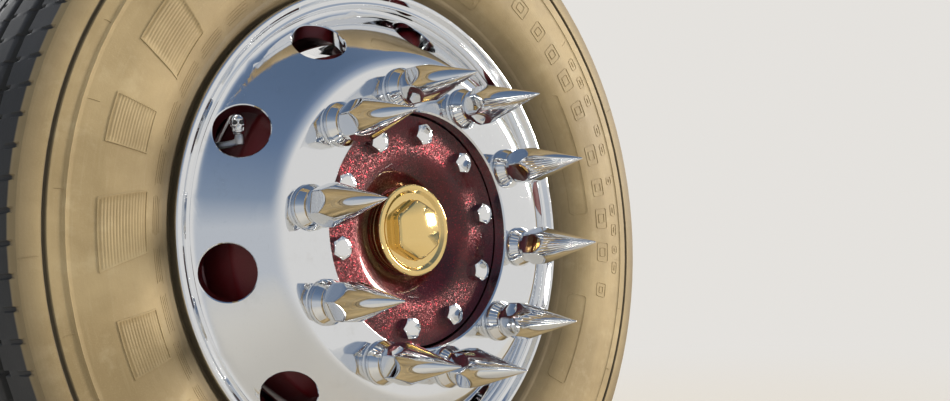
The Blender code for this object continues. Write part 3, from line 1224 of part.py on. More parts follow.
build_tyre(wheel_axis)
build_disc_wheel(wheel_axis)
build_nut_covers(wheel_axis)
build_hub(wheel_axis)
build_hub_plate(wheel_axis)
build_hub_bolts(wheel_axis)
build_hub_cap(wheel_axis)
build_brake_drum(wheel_axis)
build_valve(wheel_axis)

build_knuckle(wheel_axis, kingpin_axis)
build_kingpin_caps(kingpin_axis)
ear_middle = EAR_GAP_HALF_HEIGHT + EAR_HEIGHT / 2
build_arm("steering_arm", STEERING_ARM_EYE, STEERING_ARM_ROOT, ear_middle, kingpin_axis)
build_arm("tie_rod_arm", TIE_ROD_ARM_EYE, TIE_ROD_ARM_ROOT, -ear_middle, kingpin_axis)
build_spider(brake_axis)
build_dust_shield(brake_axis)
build_cam_tube(cam_axis)
build_slack_adjuster(cam_axis)
build_pushrod(cam_axis)
build_chamber(cam_axis)
build_chamber_bracket(cam_axis)
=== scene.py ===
import math
import random

import bmesh
import bpy
from mathutils import Matrix, Vector


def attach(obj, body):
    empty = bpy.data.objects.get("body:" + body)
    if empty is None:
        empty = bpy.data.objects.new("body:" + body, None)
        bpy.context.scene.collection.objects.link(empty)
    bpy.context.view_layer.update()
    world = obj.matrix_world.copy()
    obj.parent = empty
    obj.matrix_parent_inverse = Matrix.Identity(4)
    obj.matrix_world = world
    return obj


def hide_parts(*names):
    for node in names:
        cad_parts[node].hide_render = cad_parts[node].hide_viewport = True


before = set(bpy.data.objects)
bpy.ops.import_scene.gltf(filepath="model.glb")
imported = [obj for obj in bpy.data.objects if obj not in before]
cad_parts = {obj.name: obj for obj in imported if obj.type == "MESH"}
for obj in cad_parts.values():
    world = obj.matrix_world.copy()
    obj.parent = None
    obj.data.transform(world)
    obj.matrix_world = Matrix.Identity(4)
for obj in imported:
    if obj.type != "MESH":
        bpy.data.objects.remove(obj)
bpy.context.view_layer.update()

axes = {
    "pinToRim": 0.125,  # kingpin to the rim's centre plane
    "pinLean": math.radians(6),
    "firstStud": math.radians(133),
    "studs": 10,
    "brakeTurn": math.radians(20),
    "camDistance": 0.148,
}


def move(x, y, z):
    return Matrix.Translation((x, y, z))


def onCircle(radius, angle, height):
    return Vector((radius * math.cos(angle), radius * math.sin(angle), height))


still = Matrix.Identity(4)
wheelPlace = move(0, -axes["pinToRim"], 0) @ Matrix.Rotation(math.pi / 2, 4, "X")
pinPlace = Matrix.Rotation(-axes["pinLean"], 4, "X")
brakePlace = wheelPlace @ Matrix.Rotation(axes["brakeTurn"], 4, "Z")
camPlace = wheelPlace @ move(*onCircle(axes["camDistance"], axes["brakeTurn"], 0))

# shapes are worked out as rows of points, then skinned

mergeGap = 0.000002


def circleRow(radius, height, angles):
    return [onCircle(radius, angle, height) for angle in angles]


def studAngle(index):
    return axes["firstStud"] - index * math.tau / axes["studs"]


def holeAngle(index):
    return studAngle(index) - math.pi / axes["studs"]


def evenAngles(count, start=0):
    return [start + math.tau * step / count for step in range(count)]


def arcLine(centre, radius, start, end, stepAngle):
    steps = max(2, round(abs(end - start) / stepAngle))
    line = []
    for step in range(steps + 1):
        angle = start + (end - start) * step / steps
        line.append((centre[0] + radius * math.cos(angle), centre[1] + radius * math.sin(angle)))
    return line


def roundedLine(rows, closed=True, stepAngle=math.radians(9)):  # rows hold radius, height, rounding
    line = []
    count = len(rows)
    for index, (radius, height, rounding) in enumerate(rows):
        if not rounding or (not closed and index in (0, count - 1)):
            line.append((radius, height))
            continue
        corner = Vector((radius, height))
        before = Vector(rows[index - 1][:2]) - corner
        after = Vector(rows[(index + 1) % count][:2]) - corner
        halfAngle = before.angle(after) / 2
        reach = min(rounding / math.tan(halfAngle), before.length * 0.49, after.length * 0.49)
        arcRadius = reach * math.tan(halfAngle)
        middle = (before.normalized() + after.normalized()).normalized()
        centre = corner + middle * arcRadius / math.sin(halfAngle)
        first = corner + before.normalized() * reach - centre
        last = corner + after.normalized() * reach - centre
        start = math.atan2(first.y, first.x)
        sweep = math.atan2(first.x * last.y - first.y * last.x, first.dot(last))
        line += arcLine(centre, arcRadius, start, start + sweep, stepAngle)
    return line


def skin(rows, loopRows=False, loopColumns=True, form=None):
    form = form or bmesh.new()
    points = [[form.verts.new(point) for point in row] for row in rows]
    rowCount = len(points)
    columnCount = len(points[0])
    for i in range(rowCount if loopRows else rowCount - 1):
        near = points[i]
        far = points[(i + 1) % rowCount]
        for j in range(columnCount if loopColumns else columnCount - 1):
            k = (j + 1) % columnCount
            form.faces.new((near[j], near[k], far[k], far[j]))
    return form


def weld(form):
    bmesh.ops.remove_doubles(form, verts=form.verts, dist=mergeGap)
    bmesh.ops.recalc_face_normals(form, faces=form.faces)
    return form


def turn(line, angles, closed=True, form=None):
    return skin([circleRow(radius, height, angles) for radius, height in line], loopRows=closed, form=form)


def meshFrom(name, form):
    mesh = bpy.data.meshes.new(name)
    form.to_mesh(mesh)
    form.free()
    return mesh


def addItem(name, data):
    item = bpy.data.objects.new(name, data)
    bpy.context.scene.collection.objects.link(item)
    return item


def dress(mesh, finish, sharp):
    mesh.shade_smooth()
    mesh.set_sharp_from_angle(angle=sharp)
    mesh.materials.clear()
    mesh.materials.append(finishes[finish][0])


def placePiece(name, mesh, finish, body, *nodes):
    item = addItem(name, mesh)
    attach(item, body)
    if nodes:
        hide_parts(*nodes)


def makePiece(name, form, place, finish, body, *nodes, sharp=math.radians(34)):
    mesh = meshFrom(name, form)
    mesh.transform(place)
    dress(mesh, finish, sharp)
    placePiece(name, mesh, finish, body, *nodes)


def makeRing(name, node, rows, circle, seat, angleOf, spin, sharp):  # ten alike chrome pieces round the wheel
    mesh = meshFrom(name, weld(skin(rows)))
    dress(mesh, "chrome", sharp)
    for index in range(axes["studs"]):
        copy = mesh.copy()
        angle = angleOf(index)
        spot = Matrix.Translation(onCircle(circle, angle, seat))
        copy.transform(wheelPlace @ spot @ Matrix.Rotation(angle + index * spin, 4, "Z"))
        placePiece(f"{name}_{index + 1:02d}", copy, "chrome", "wheel_body", f"{node}_{index + 1:02d}")


# shader sums

class Wire:
    def __init__(self, tree, socket=None):
        self.tree = tree
        self.socket = socket

    def node(self, kind, settings=None, inputs=None, output=0):
        made = self.tree.nodes.new(kind)
        for key, value in (settings or {}).items():
            if key == "stops":
                ramp = made.color_ramp
                while len(ramp.elements) < len(value):
                    ramp.elements.new(1)
                for element, (spot, colour) in zip(ramp.elements, value):
                    element.position = spot
                    element.color = (*colour, 1)
            else:
                setattr(made, key, value)
        for key, value in (inputs or {}).items():
            if isinstance(value, Wire):
                self.tree.links.new(value.socket, made.inputs[key])
            else:
                made.inputs[key].default_value = value
        return Wire(self.tree, made.outputs[output])

    def sum(self, operation, first, second=0):
        return self.node("ShaderNodeMath", {"operation": operation}, {0: first, 1: second})

    def __add__(self, other):
        return self.sum("ADD", self, other)

    def __radd__(self, other):
        return self.sum("ADD", other, self)

    def __sub__(self, other):
        return self.sum("SUBTRACT", self, other)

    def __rsub__(self, other):
        return self.sum("SUBTRACT", other, self)

    def __mul__(self, other):
        return self.sum("MULTIPLY", self, other)

    def __rmul__(self, other):
        return self.sum("MULTIPLY", other, self)

    def __truediv__(self, other):
        return self.sum("DIVIDE", self, other)

    def __pow__(self, other):
        return self.sum("POWER", self, other)

    def ramp(self, low, high):  # 0 below low, 1 above high, soft between
        inputs = {"Value": self, "From Min": low, "From Max": high, "To Min": 0, "To Max": 1}
        return self.node("ShaderNodeMapRange", {"interpolation_type": "SMOOTHSTEP"}, inputs)

    def blend(self, first, second):  # this wire is the share of the second colour
        return self.node("ShaderNodeMix", {"data_type": "RGBA"}, {"Factor": self, 6: first, 7: second}, 2)

    def noise(self, scale, detail, roughness, place):
        inputs = {"Scale": scale, "Detail": detail, "Roughness": roughness, "Vector": place}
        return self.node("ShaderNodeTexNoise", None, inputs)

    def axis(self, name):
        return self.node("ShaderNodeSeparateXYZ", None, {0: self}, name)

    def fromAxle(self):  # distance from the wheel's axis
        across = self.axis("X")
        up = self.axis("Z")
        return (across * across + up * up) ** 0.5

    def lathe(self, scale):  # fine rings about the wheel's axis
        return self.noise(1, 2, 0.6, self.node("ShaderNodeCombineXYZ", None, {"X": self.fromAxle() * scale}))

    def vector(self, operation, inputs):
        return self.node("ShaderNodeVectorMath", {"operation": operation}, inputs)


def colour(red, green, blue):
    return (red, green, blue, 1)


def newLook(name):
    look = bpy.data.materials.new(name)
    look.use_nodes = True
    tree = look.node_tree
    wire = Wire(tree)
    shader = tree.nodes["Principled BSDF"]
    place = wire.node("ShaderNodeTexCoord", output=3)
    return look, wire, shader, place


def feed(wire, shader, **sockets):
    for name, value in sockets.items():
        socket = shader.inputs[name.replace("_", " ")]
        if isinstance(value, Wire):
            wire.tree.links.new(value.socket, socket)
        else:
            socket.default_value = value


def bump(height, strength, distance):
    return height.node("ShaderNodeBump", None, {"Height": height, "Strength": strength, "Distance": distance})


def rubberLook():
    tint = {
        "cream": colour(0.41, 0.305, 0.155), "tan": colour(0.28, 0.2, 0.092),
        "shade": colour(0.06, 0.044, 0.025),
        "tread": colour(0.018, 0.017, 0.016), "dust": colour(0.5, 0.4, 0.235),
        "line": colour(0.03, 0.023, 0.014),
        "band": colour(0.135, 0.1, 0.052),
    }
    edge = {"treadFrom": 0.4655, "treadTo": 0.4685, "beadFrom": 0.3, "beadTo": 0.345, "groove": 0.439,
            "grooveFrom": 0.44, "grooveTo": 0.448, "shadeBandFrom": 0.436, "shadeBandTo": 0.462, "crownEnd": 0.139,
            "crownBlend": 0.004}
    look, wire, shader, place = newLook("tanRubber")
    radius = place.fromAxle()
    clouds = wire.noise(9, 4, 0.6, place)
    grain = wire.noise(420, 3, 0.6, place)
    specks = wire.noise(1500, 1, 0.5, place)
    smears = wire.noise(34, 4, 0.65, place)
    angle = wire.sum("ARCTAN2", place.axis("Z"), place.axis("X"))
    ringPlace = wire.node("ShaderNodeCombineXYZ", None, {"X": radius * 60, "Y": angle * 1.6})
    rings = wire.noise(5, 4, 0.6, ringPlace)
    offGroove = wire.sum("ABSOLUTE", radius - edge["groove"])
    offMiddle = wire.sum("ABSOLUTE", place.axis("Y") + axes["pinToRim"])
    onCrown = 1 - offMiddle.ramp(edge["crownEnd"] - edge["crownBlend"], edge["crownEnd"])
    grooves = onCrown * radius.ramp(edge["grooveFrom"], edge["grooveTo"])
    base = clouds.ramp(0.3, 0.72).blend(tint["tan"], tint["cream"])
    layers = (
        (rings.ramp(0.5, 0.75) * 0.14, "dust"), (smears.ramp(0.52, 0.72) * 0.3, "dust"),
        (smears.ramp(0.48, 0.3) * 0.22, "tan"), (specks.ramp(0.6, 0.7) * 0.25, "dust"),
        # painted shade: the lower sidewall is darkened towards the bead and the rim
        ((1 - radius.ramp(edge["beadFrom"], edge["beadTo"])) * 0.72, "shade"),
        # painted shade: the outer sidewall band towards the shoulder is darkened
        (radius.ramp(edge["shadeBandFrom"], edge["shadeBandTo"]) * 0.7, "band"),
        # painted shade: a dark line drawn along the side groove
        ((1 - offGroove.ramp(0.0012, 0.0036)) * 0.9, "line"),
        (wire.sum("MAXIMUM", radius.ramp(edge["treadFrom"], edge["treadTo"]), grooves), "tread"),
    )
    for share, name in layers:
        base = share.blend(base, tint[name])
    feed(wire, shader, Base_Color=base, Roughness=0.52 + clouds * 0.22 + grain * 0.08,
         Normal=bump(grain * 0.6 + rings * 0.4, 0.35, 0.0006), Specular_IOR_Level=0.4)
    return look


def metalLook(name, base, stain, rough, smudge, polish, ringScale=0):
    look, wire, shader, place = newLook(name)
    clouds = wire.noise(14, 4, 0.6, place)
    film = wire.noise(95, 3, 0.65, place)
    mark = clouds.ramp(0.52, 0.8) * film.ramp(0.4, 0.75)
    spot = wire.noise(900, 1, 0.5, place).ramp(0.7, 0.76)
    height = place.lathe(ringScale) if ringScale else film
    feed(wire, shader, Base_Color=(mark * 0.35 + spot * 0.3).blend(base, stain), Metallic=1,
         Roughness=rough + mark * smudge + spot * 0.2, Normal=bump(height, polish, 0.0002))
    return look


def flakeLook():
    tint = {
        "deep": colour(0.026, 0.0006, 0.002), "bright": colour(0.105, 0.0012, 0.005),
        "spark": colour(0.42, 0.025, 0.045), "haze": colour(0.038, 0.003, 0.009),
    }
    look, wire, shader, place = newLook("redFlake")
    chance = wire.node("ShaderNodeTexVoronoi", None, {"Scale": 900, "Vector": place}, "Color")
    flake = wire.node("ShaderNodeSeparateColor", None, {0: chance})
    spark = flake.ramp(0.93, 0.99)
    clouds = wire.noise(26, 3, 0.6, place)
    base = clouds.ramp(0.35, 0.7).blend(tint["deep"], tint["bright"])
    layers = ((flake * 0.55, "bright"), (spark * 0.45, "spark"), (clouds.ramp(0.55, 0.78) * 0.35, "haze"))
    for share, name in layers:
        base = share.blend(base, tint[name])
    tilt = wire.vector("SUBTRACT", {0: chance, 1: (0.5, 0.5, 0.5)})
    lean = wire.vector("SCALE", {0: tilt, "Scale": 0.3})
    normal = wire.vector("ADD", {0: bump(place.lathe(900), 0.35, 0.0004), 1: lean})
    feed(wire, shader, Base_Color=base, Roughness=0.27 + clouds * 0.1, Metallic=0.62 + spark * 0.35,
         Normal=wire.vector("NORMALIZE", {0: normal}), Coat_Weight=0.6, Coat_Roughness=0.03)
    return look


def paintLook(name, base, dust, rough, dustShare, castShare):
    look, wire, shader, place = newLook(name)
    clouds = wire.noise(17, 5, 0.62, place)
    film = wire.noise(130, 3, 0.6, place)
    cast = wire.noise(640, 3, 0.6, place)
    grime = clouds.ramp(0.46, 0.78) * film.ramp(0.35, 0.7)
    feed(wire, shader, Base_Color=(grime * dustShare).blend(base, dust),
         Roughness=rough + grime * 0.25 + film * 0.08,
         Normal=bump(cast + film * 0.6, castShare, 0.0004), Coat_Roughness=0.12)
    return look


finishes = {  # look and material slot
    "rubber": (rubberLook(), "tyre_rubber"),
    "aluminium": (metalLook("polishedAluminium", colour(0.8, 0.82, 0.85), colour(0.52, 0.5, 0.46),
                            0.045, 0.16, 0.05, 2600), "polished_aluminium"),
    "chrome": (metalLook("chromePlate", colour(0.83, 0.84, 0.85), colour(0.5, 0.46, 0.4),
                         0.025, 0.12, 0.02), "chrome"),
    "brass": (metalLook("polishedBrass", colour(0.86, 0.63, 0.27), colour(0.5, 0.31, 0.1),
                        0.085, 0.14, 0.05, 2200), "polished_brass"),
    "flake": (flakeLook(), "red_flake"),
    "drum": (paintLook("drumRed", colour(0.09, 0.0035, 0.005), colour(0.1, 0.05, 0.035),
                       0.42, 0.2, 0.5), "drum_red"),
    "black": (paintLook("chassisBlack", colour(0.026, 0.026, 0.029), colour(0.13, 0.105, 0.08),
                        0.44, 0.55, 0.45), "black_steel"),
    "zinc": (metalLook("zincPlate", colour(0.52, 0.53, 0.55), colour(0.3, 0.27, 0.22),
                       0.3, 0.2, 0.15), "zinc_steel"),
}
print("materials are ready")

# camera and studio

shot = {
    "place": Vector((-0.8042, -1.1624, -0.0092)),
    "right": Vector((0.69383, -0.71571, -0.07981)),
    "up": Vector((0.03202, -0.08006, 0.99627)),
    "ahead": Vector((0.71944, 0.69379, 0.03263)),
    "lens": 37.516,
    "sensor": 36,
}


def makeCamera():
    data = bpy.data.cameras.new("camera")
    data.lens = shot["lens"]
    data.sensor_width = shot["sensor"]
    data.clip_start = 0.01
    data.clip_end = 200
    camera = addItem("camera", data)
    facing = Matrix((shot["right"], shot["up"], -shot["ahead"])).transposed().to_4x4()
    camera.matrix_world = Matrix.Translation(shot["place"]) @ facing
    bpy.context.scene.camera = camera


studio = {
    "floorHeight": -0.475,
    "floorReach": 60,
    "floorTint": colour(0.66, 0.61, 0.53),
    "paleWall": (0.78, 0.76, 0.73),
    "dimWall": (0.54, 0.56, 0.59),
    "wallFrom": -0.75,
    "wallTo": 0.3,
    "ambient": colour(0.24, 0.27, 0.32),
    "blendFrom": 0.7,
    "blendTo": 2.4,
    "lampAim": Vector((0, -0.2, 0)),
}

paleSide = [  # the backdrop from the floor's edge to overhead, on the key lamp's side
    (0, studio["paleWall"]), (0.64, studio["paleWall"]), (0.72, (0.46, 0.5, 0.56)),
    (0.86, (0.17, 0.23, 0.34)), (1, (0.1, 0.15, 0.24)),
]

dimSide = [  # the same on the other side
    (0, studio["dimWall"]), (0.56, studio["dimWall"]), (0.66, (0.25, 0.31, 0.4)),
    (0.84, (0.13, 0.19, 0.3)), (1, (0.1, 0.15, 0.24)),
]

lamps = (  # name, place, size, watts, tint, seen in metal
    ("key", Vector((6.6, -3.8, 1.5)), 2, 720, (1, 0.94, 0.84), True),
    ("top", Vector((-0.6, -1.5, 3.2)), 2.4, 45, (0.9, 0.95, 1), False),
    ("front", Vector((-2.6, -2.4, 0.7)), 2.2, 26, (0.94, 0.97, 1), False),
    ("back", Vector((0.6, 3.3, 1.7)), 2.2, 105, (1, 0.98, 0.95), True),
    ("underside", Vector((-1.6, 2.4, 0.2)), 1.4, 26, (0.96, 0.98, 1), False),
)


def pathShare(wire):  # camera, mirror and glass rays see one and the same backdrop
    camera, glossy, glass = (wire.node("ShaderNodeLightPath", output=f"Is {ray} Ray")
                             for ray in ("Camera", "Glossy", "Transmission"))
    return wire.sum("MINIMUM", camera + glossy + glass, 1)


def makeWorld():
    world = bpy.data.worlds.new("studio")
    bpy.context.scene.world = world
    world.use_nodes = True
    tree = world.node_tree
    wire = Wire(tree)
    background = tree.nodes["Background"]
    place = wire.node("ShaderNodeTexCoord", output="Generated")
    height = place.axis("Z") * 0.5 + 0.5
    dim = wire.node("ShaderNodeValToRGB", {"stops": dimSide}, {0: height})
    pale = wire.node("ShaderNodeValToRGB", {"stops": paleSide}, {0: height})
    backdrop = place.axis("X").ramp(studio["wallFrom"], studio["wallTo"]).blend(dim, pale)
    shade = pathShare(wire).blend(studio["ambient"], backdrop)
    tree.links.new(shade.socket, background.inputs["Color"])


def makeFloor():
    form = bmesh.new()
    bmesh.ops.create_circle(form, cap_ends=True, segments=96, radius=studio["floorReach"])
    mesh = meshFrom("floor", form)
    floor = addItem("floor", mesh)
    floor.location = (0, 0, studio["floorHeight"])
    look, wire, shader, place = newLook("paleFloor")
    length = wire.node("ShaderNodeVectorMath", {"operation": "LENGTH"}, {0: place}, "Value")
    share = length.ramp(studio["blendFrom"], studio["blendTo"]) * pathShare(wire)
    wall = (place.axis("X") / length).ramp(studio["wallFrom"], studio["wallTo"])
    glow = wire.node("ShaderNodeEmission", None,
                     {"Color": wall.blend(colour(*studio["dimWall"]), colour(*studio["paleWall"]))})
    feed(wire, shader, Base_Color=studio["floorTint"], Roughness=1, Specular_IOR_Level=0)
    mix = wire.node("ShaderNodeMixShader", None, {0: share, 1: Wire(wire.tree, shader.outputs[0]), 2: glow})
    wire.tree.links.new(mix.socket, wire.tree.nodes["Material Output"].inputs[0])
    mesh.materials.append(look)


def makeLamps():
    for name, place, size, watts, tint, mirrored in lamps:
        data = bpy.data.lights.new(name, "AREA")
        data.size = size
        data.energy = watts
        data.color = tint
        lamp = addItem(name, data)
        lamp.visible_glossy = mirrored
        lamp.location = place
        lamp.rotation_mode = "QUATERNION"
        lamp.rotation_quaternion = (studio["lampAim"] - place).to_track_quat("-Z", "Y")


makeCamera()
makeWorld()
makeFloor()
makeLamps()
bpy.context.scene.view_settings.view_transform = "Standard"
print("camera and studio are ready")

# tyre

tyre = {
    "radius": 0.475, "halfWidth": 0.1575, "widest": 0.388, "shoulder": 0.463, "shoulderHalf": 0.1465,
    "seat": 0.28605, "heel": 0.114, "flangeTop": 0.29905, "beadRib": 0.311, "beadRibHeight": 0.129,
    "hollow": 0.0045, "sideGroove": 0.439, "grooveHalf": 0.0025, "grooveDepth": 0.0028,
    "ridge": 0.421, "ridgeHalf": 0.0009, "ridgeRise": 0.0011, "crownInside": 0.445, "sideInside": 0.1445,
    "toe": 0.2782, "toeHeight": 0.0843,
    "treadGrooves": (0.088, 0.03), "grooveWidth": 0.012, "grooveTaper": 0.003, "treadDepth": 0.013,
    "grooveLip": 0.0012, "grooveDip": 0.0008,
    "pitches": 100, "notchDepth": 0.0042, "notchReach": 0.011,
}


def treadRadius(height):
    return tyre["radius"] - (tyre["radius"] - tyre["shoulder"]) * (height / tyre["shoulderHalf"]) ** 2


def sideRows():
    side = (tyre["halfWidth"] + tyre["shoulderHalf"]) / 2
    ridge = tyre["ridge"]
    groove = tyre["sideGroove"]
    half = tyre["grooveHalf"]
    top = side + 0.0012
    return [
        (tyre["seat"], tyre["heel"], 0),
        (tyre["flangeTop"], tyre["heel"], 0.0012),
        (0.3045, 0.1215, 0.003),
        (tyre["beadRib"] - 0.003, tyre["beadRibHeight"] - 0.0012, 0.0012),
        (tyre["beadRib"], tyre["beadRibHeight"] + 0.0006, 0.0012),
        (tyre["beadRib"] + 0.0035, tyre["beadRibHeight"] + 0.0014, 0.0015),
        (0.33, 0.143, 0.03),
        (0.3495, tyre["halfWidth"] - tyre["hollow"], 0.05),
        (0.386, tyre["halfWidth"] - 0.0012, 0.06),
        (ridge - 0.004, top - 0.0004, 0.004),
        (ridge - tyre["ridgeHalf"], top, 0.0004),
        (ridge, top + tyre["ridgeRise"], 0.0005),
        (ridge + tyre["ridgeHalf"] * 2, top - 0.0016, 0.0005),
        (groove - half, side - 0.0012, 0.0008),
        (groove - half * 0.3, side - 0.0012 - tyre["grooveDepth"], 0.0004),
        (groove + half * 0.3, side - 0.0012 - tyre["grooveDepth"], 0.0004),
        (groove + half, side - 0.0012, 0.0008),
        (0.4595, 0.1481, 0.004),
        (0.4622, 0.1474, 0.0006),
        (0.4634, 0.1442, 0.0012),
    ]


sideLine = roundedLine(sideRows(), closed=False, stepAngle=math.radians(15))
sideReach = [point for point in sideLine if point[0] >= tyre["beadRib"]]


def sideHeight(radius):
    for (low, lowHeight), (high, highHeight) in zip(sideReach, sideReach[1:]):
        if low <= radius <= high:
            share = (radius - low) / max(high - low, mergeGap)
            return lowHeight + (highHeight - lowHeight) * share
    return sideReach[-1][1]


def treadRows():
    rows = []
    rise = tyre["grooveTaper"]
    for spot in tyre["treadGrooves"]:
        near = spot + tyre["grooveWidth"] / 2
        far = spot - tyre["grooveWidth"] / 2
        depth = treadRadius(spot) - tyre["treadDepth"]
        for edge, way in ((near, 1), (far, -1)):
            flank = [(treadRadius(edge + way * reach), edge + way * reach, kind)
                     for reach, kind in ((tyre["notchReach"], "rib"), (tyre["grooveLip"], "notch"))]
            flank += [(treadRadius(edge) - tyre["grooveDip"], edge, "notch"),
                      (depth, edge - way * rise, "floor")]
            rows += flank[::way]
    return rows


def makeTyre():
    outer = [(radius, height, "side") for radius, height in sideLine]
    outer += [(0.4646, 0.1425, "shoulder"), (0.4655, 0.137, "shoulder"), (treadRadius(0.12), 0.12, "rib")]
    outer += treadRows()
    middle = [(tyre["radius"], 0, "rib")]
    inboard = [(radius, -height, kind) for radius, height, kind in reversed(outer)]
    inner = [(tyre["toe"], -tyre["toeHeight"], "in"), (0.291, -tyre["toeHeight"], "in"),
             (0.311, -0.1145, "in"),
             (tyre["widest"], -tyre["sideInside"], "in"), (0.4165, -0.1335, "in"), (0.442, -0.1165, "in"),
             (tyre["crownInside"], 0, "in")]
    inner += [(radius, -height, kind) for radius, height, kind in reversed(inner[:-1])]
    line = outer + middle + inboard + inner
    shares = (0.4, 0.45, 0.55, 0.6)
    notched = {1, 2}
    depths = {"notch": tyre["notchDepth"], "shoulder": tyre["notchDepth"] * 0.7}
    angles = [(pitch + share) * math.tau / tyre["pitches"]
              for pitch in range(tyre["pitches"]) for share in shares]
    rows = []
    for radius, height, kind in line:
        row = []
        for index, angle in enumerate(angles):
            drop = depths.get(kind, 0) if index % len(shares) in notched else 0
            row.append(onCircle(radius - drop, angle, height))
        rows.append(row)
    form = weld(skin(rows, loopRows=True))
    makePiece("tyre_case", form, wheelPlace, "rubber", "wheel_body", "tyre")


# raised marks on the outboard side: ribbed pads, bars, panels and mould lines

marks = {
    "rise": 0.0009, "ribPitch": 0.003, "ribRise": 0.0005, "bead": 0.0007, "beadWidth": 0.0014,
    "padFrom": 0.339, "padTo": 0.393, "root": 0.0006, "margin": 0.003,
    "inset": 0.0055,
}

padSpots = (  # middle angle, width, slant, inner share of the height, outer share
    (127, 9.6, 2.6, 0, 1), (144.5, 10.4, -1.8, 0, 1), (161, 7.4, 0, 0.15, 1),
    (176.5, 10.4, 2.2, 0, 1), (194, 8.8, 0, 0, 0.85), (210, 10.4, -2.4, 0, 1),
    (227, 8.6, 1.8, 0, 1), (243.5, 9.4, -1.2, 0, 1),
)

barSpots = (  # inner radius, outer radius, then each bar's middle angle and width
    (0.364, 0.386, ((52, 4.2), (45, 3.4), (38.8, 3.6), (32, 4.6), (24.6, 3.8), (14, 4.4),
                    (6.6, 3.8), (-0.4, 4.4),
                    (-8, 4.2))),
    (0.366, 0.384, ((-16.5, 3),)),
    (0.399, 0.411, ((33.5, 2.4), (29.3, 2.4), (25.1, 2.4), (18.4, 2.4), (14.2, 2.4), (7.5, 1.6), (1.2, 2.4),
                    (-3, 2.4), (-7.2, 1.6), (-11, 2.4))),
)

panelSpots = (  # middle angle, width, inner radius, outer radius
    (16, 30, 0.3235, 0.348), (-30, 22, 0.3235, 0.348), (74, 24, 0.3235, 0.348),
    (-72, 26, 0.3235, 0.348), (104, 16, 0.364, 0.386), (-62, 18, 0.364, 0.386),
)


def onSide(radius, angle, lift):
    return onCircle(radius, angle, sideHeight(radius) + lift)


def ribbedPad(form, middle, width, slant, low, high):
    reach = marks["padTo"] - marks["padFrom"]
    inner = marks["padFrom"] + reach * low
    tall = marks["padFrom"] + reach * high - inner
    ribs = max(2, int((tall - 2 * marks["margin"]) / marks["ribPitch"]))
    step = (tall - 2 * marks["margin"]) / ribs
    levels = [(0, -marks["root"]), (0.0004, marks["rise"]), (0.0018, marks["rise"]), (0.0022, 0)]
    for rib in range(ribs):
        foot = inner + marks["margin"] + rib * (tall - 2 * marks["margin"]) / ribs - inner
        levels += [(foot + step * share, lift) for share, lift in (
            (0.15, 0.0001), (0.35, marks["ribRise"]), (0.65, marks["ribRise"]), (0.85, 0.0001))]
    levels += [(tall - 0.0022, 0), (tall - 0.0018, marks["rise"]), (tall - 0.0004, marks["rise"]),
               (tall, -marks["root"])]
    columns = [0, 0.008, 0.035, 0.045] + [0.045 + 0.91 * share / 10 for share in range(1, 10)]
    columns += [0.955, 0.965, 0.992, 1]
    last = len(columns) - 1
    rows = []
    for offset, lift in levels:
        lean = math.radians(slant) * (offset / tall - 0.5)
        row = []
        for index, share in enumerate(columns):
            height = lift
            if index in (1, 2, last - 2, last - 1) and lift >= 0:  # the frame round the ribs
                height = max(lift, marks["rise"])
            if index in (0, last):
                height = -marks["root"]
            row.append(onSide(inner + offset, math.radians(middle + width * (share - 0.5)) + lean, height))
        rows.append(row)
    skin(rows, loopColumns=False, form=form)


def beadLoop(form, spots, closed=True, width=None, rise=None):
    width = width or marks["beadWidth"]
    rise = rise or marks["bead"]
    rows = []
    count = len(spots)
    for index, (radius, angle) in enumerate(spots):
        before = spots[index - 1] if closed or index else spots[index]
        after = spots[(index + 1) % count] if closed or index < count - 1 else spots[index]
        along = Vector((after[0] - before[0], (after[1] - before[1]) * radius)).normalized()
        across = Vector((-along.y, along.x)) * width / 2
        row = []
        for share, lift in ((-1, -marks["root"]), (-0.45, rise), (0.45, rise), (1, -marks["root"])):
            row.append(onSide(radius + across.x * share, angle + across.y * share / radius, lift))
        rows.append(row)
    skin(rows, loopRows=closed, loopColumns=False, form=form)


def roundBox(middle, width, inner, outer, corner):
    half = math.radians(width) / 2
    centre = math.radians(middle)
    mean = (inner + outer) / 2
    spots = []
    for turnIndex, (side, end) in enumerate(((1, 1), (-1, 1), (-1, -1), (1, -1))):
        for step in range(6):
            bend = turnIndex * math.pi / 2 + step * math.pi / 10
            across = side * (half * mean - corner) + corner * math.cos(bend)
            along = end * ((outer - inner) / 2 - corner) + corner * math.sin(bend)
            spots.append((mean + along, centre + across / mean))
        if (-1, -1, 1, 1)[turnIndex] != side:
            runs = max(1, int(width / 2))
            for step in range(1, runs):
                across = side * (half * mean - corner) * (1 - 2 * step / runs)
                spots.append((mean + end * (outer - inner) / 2, centre + across / mean))
    return spots


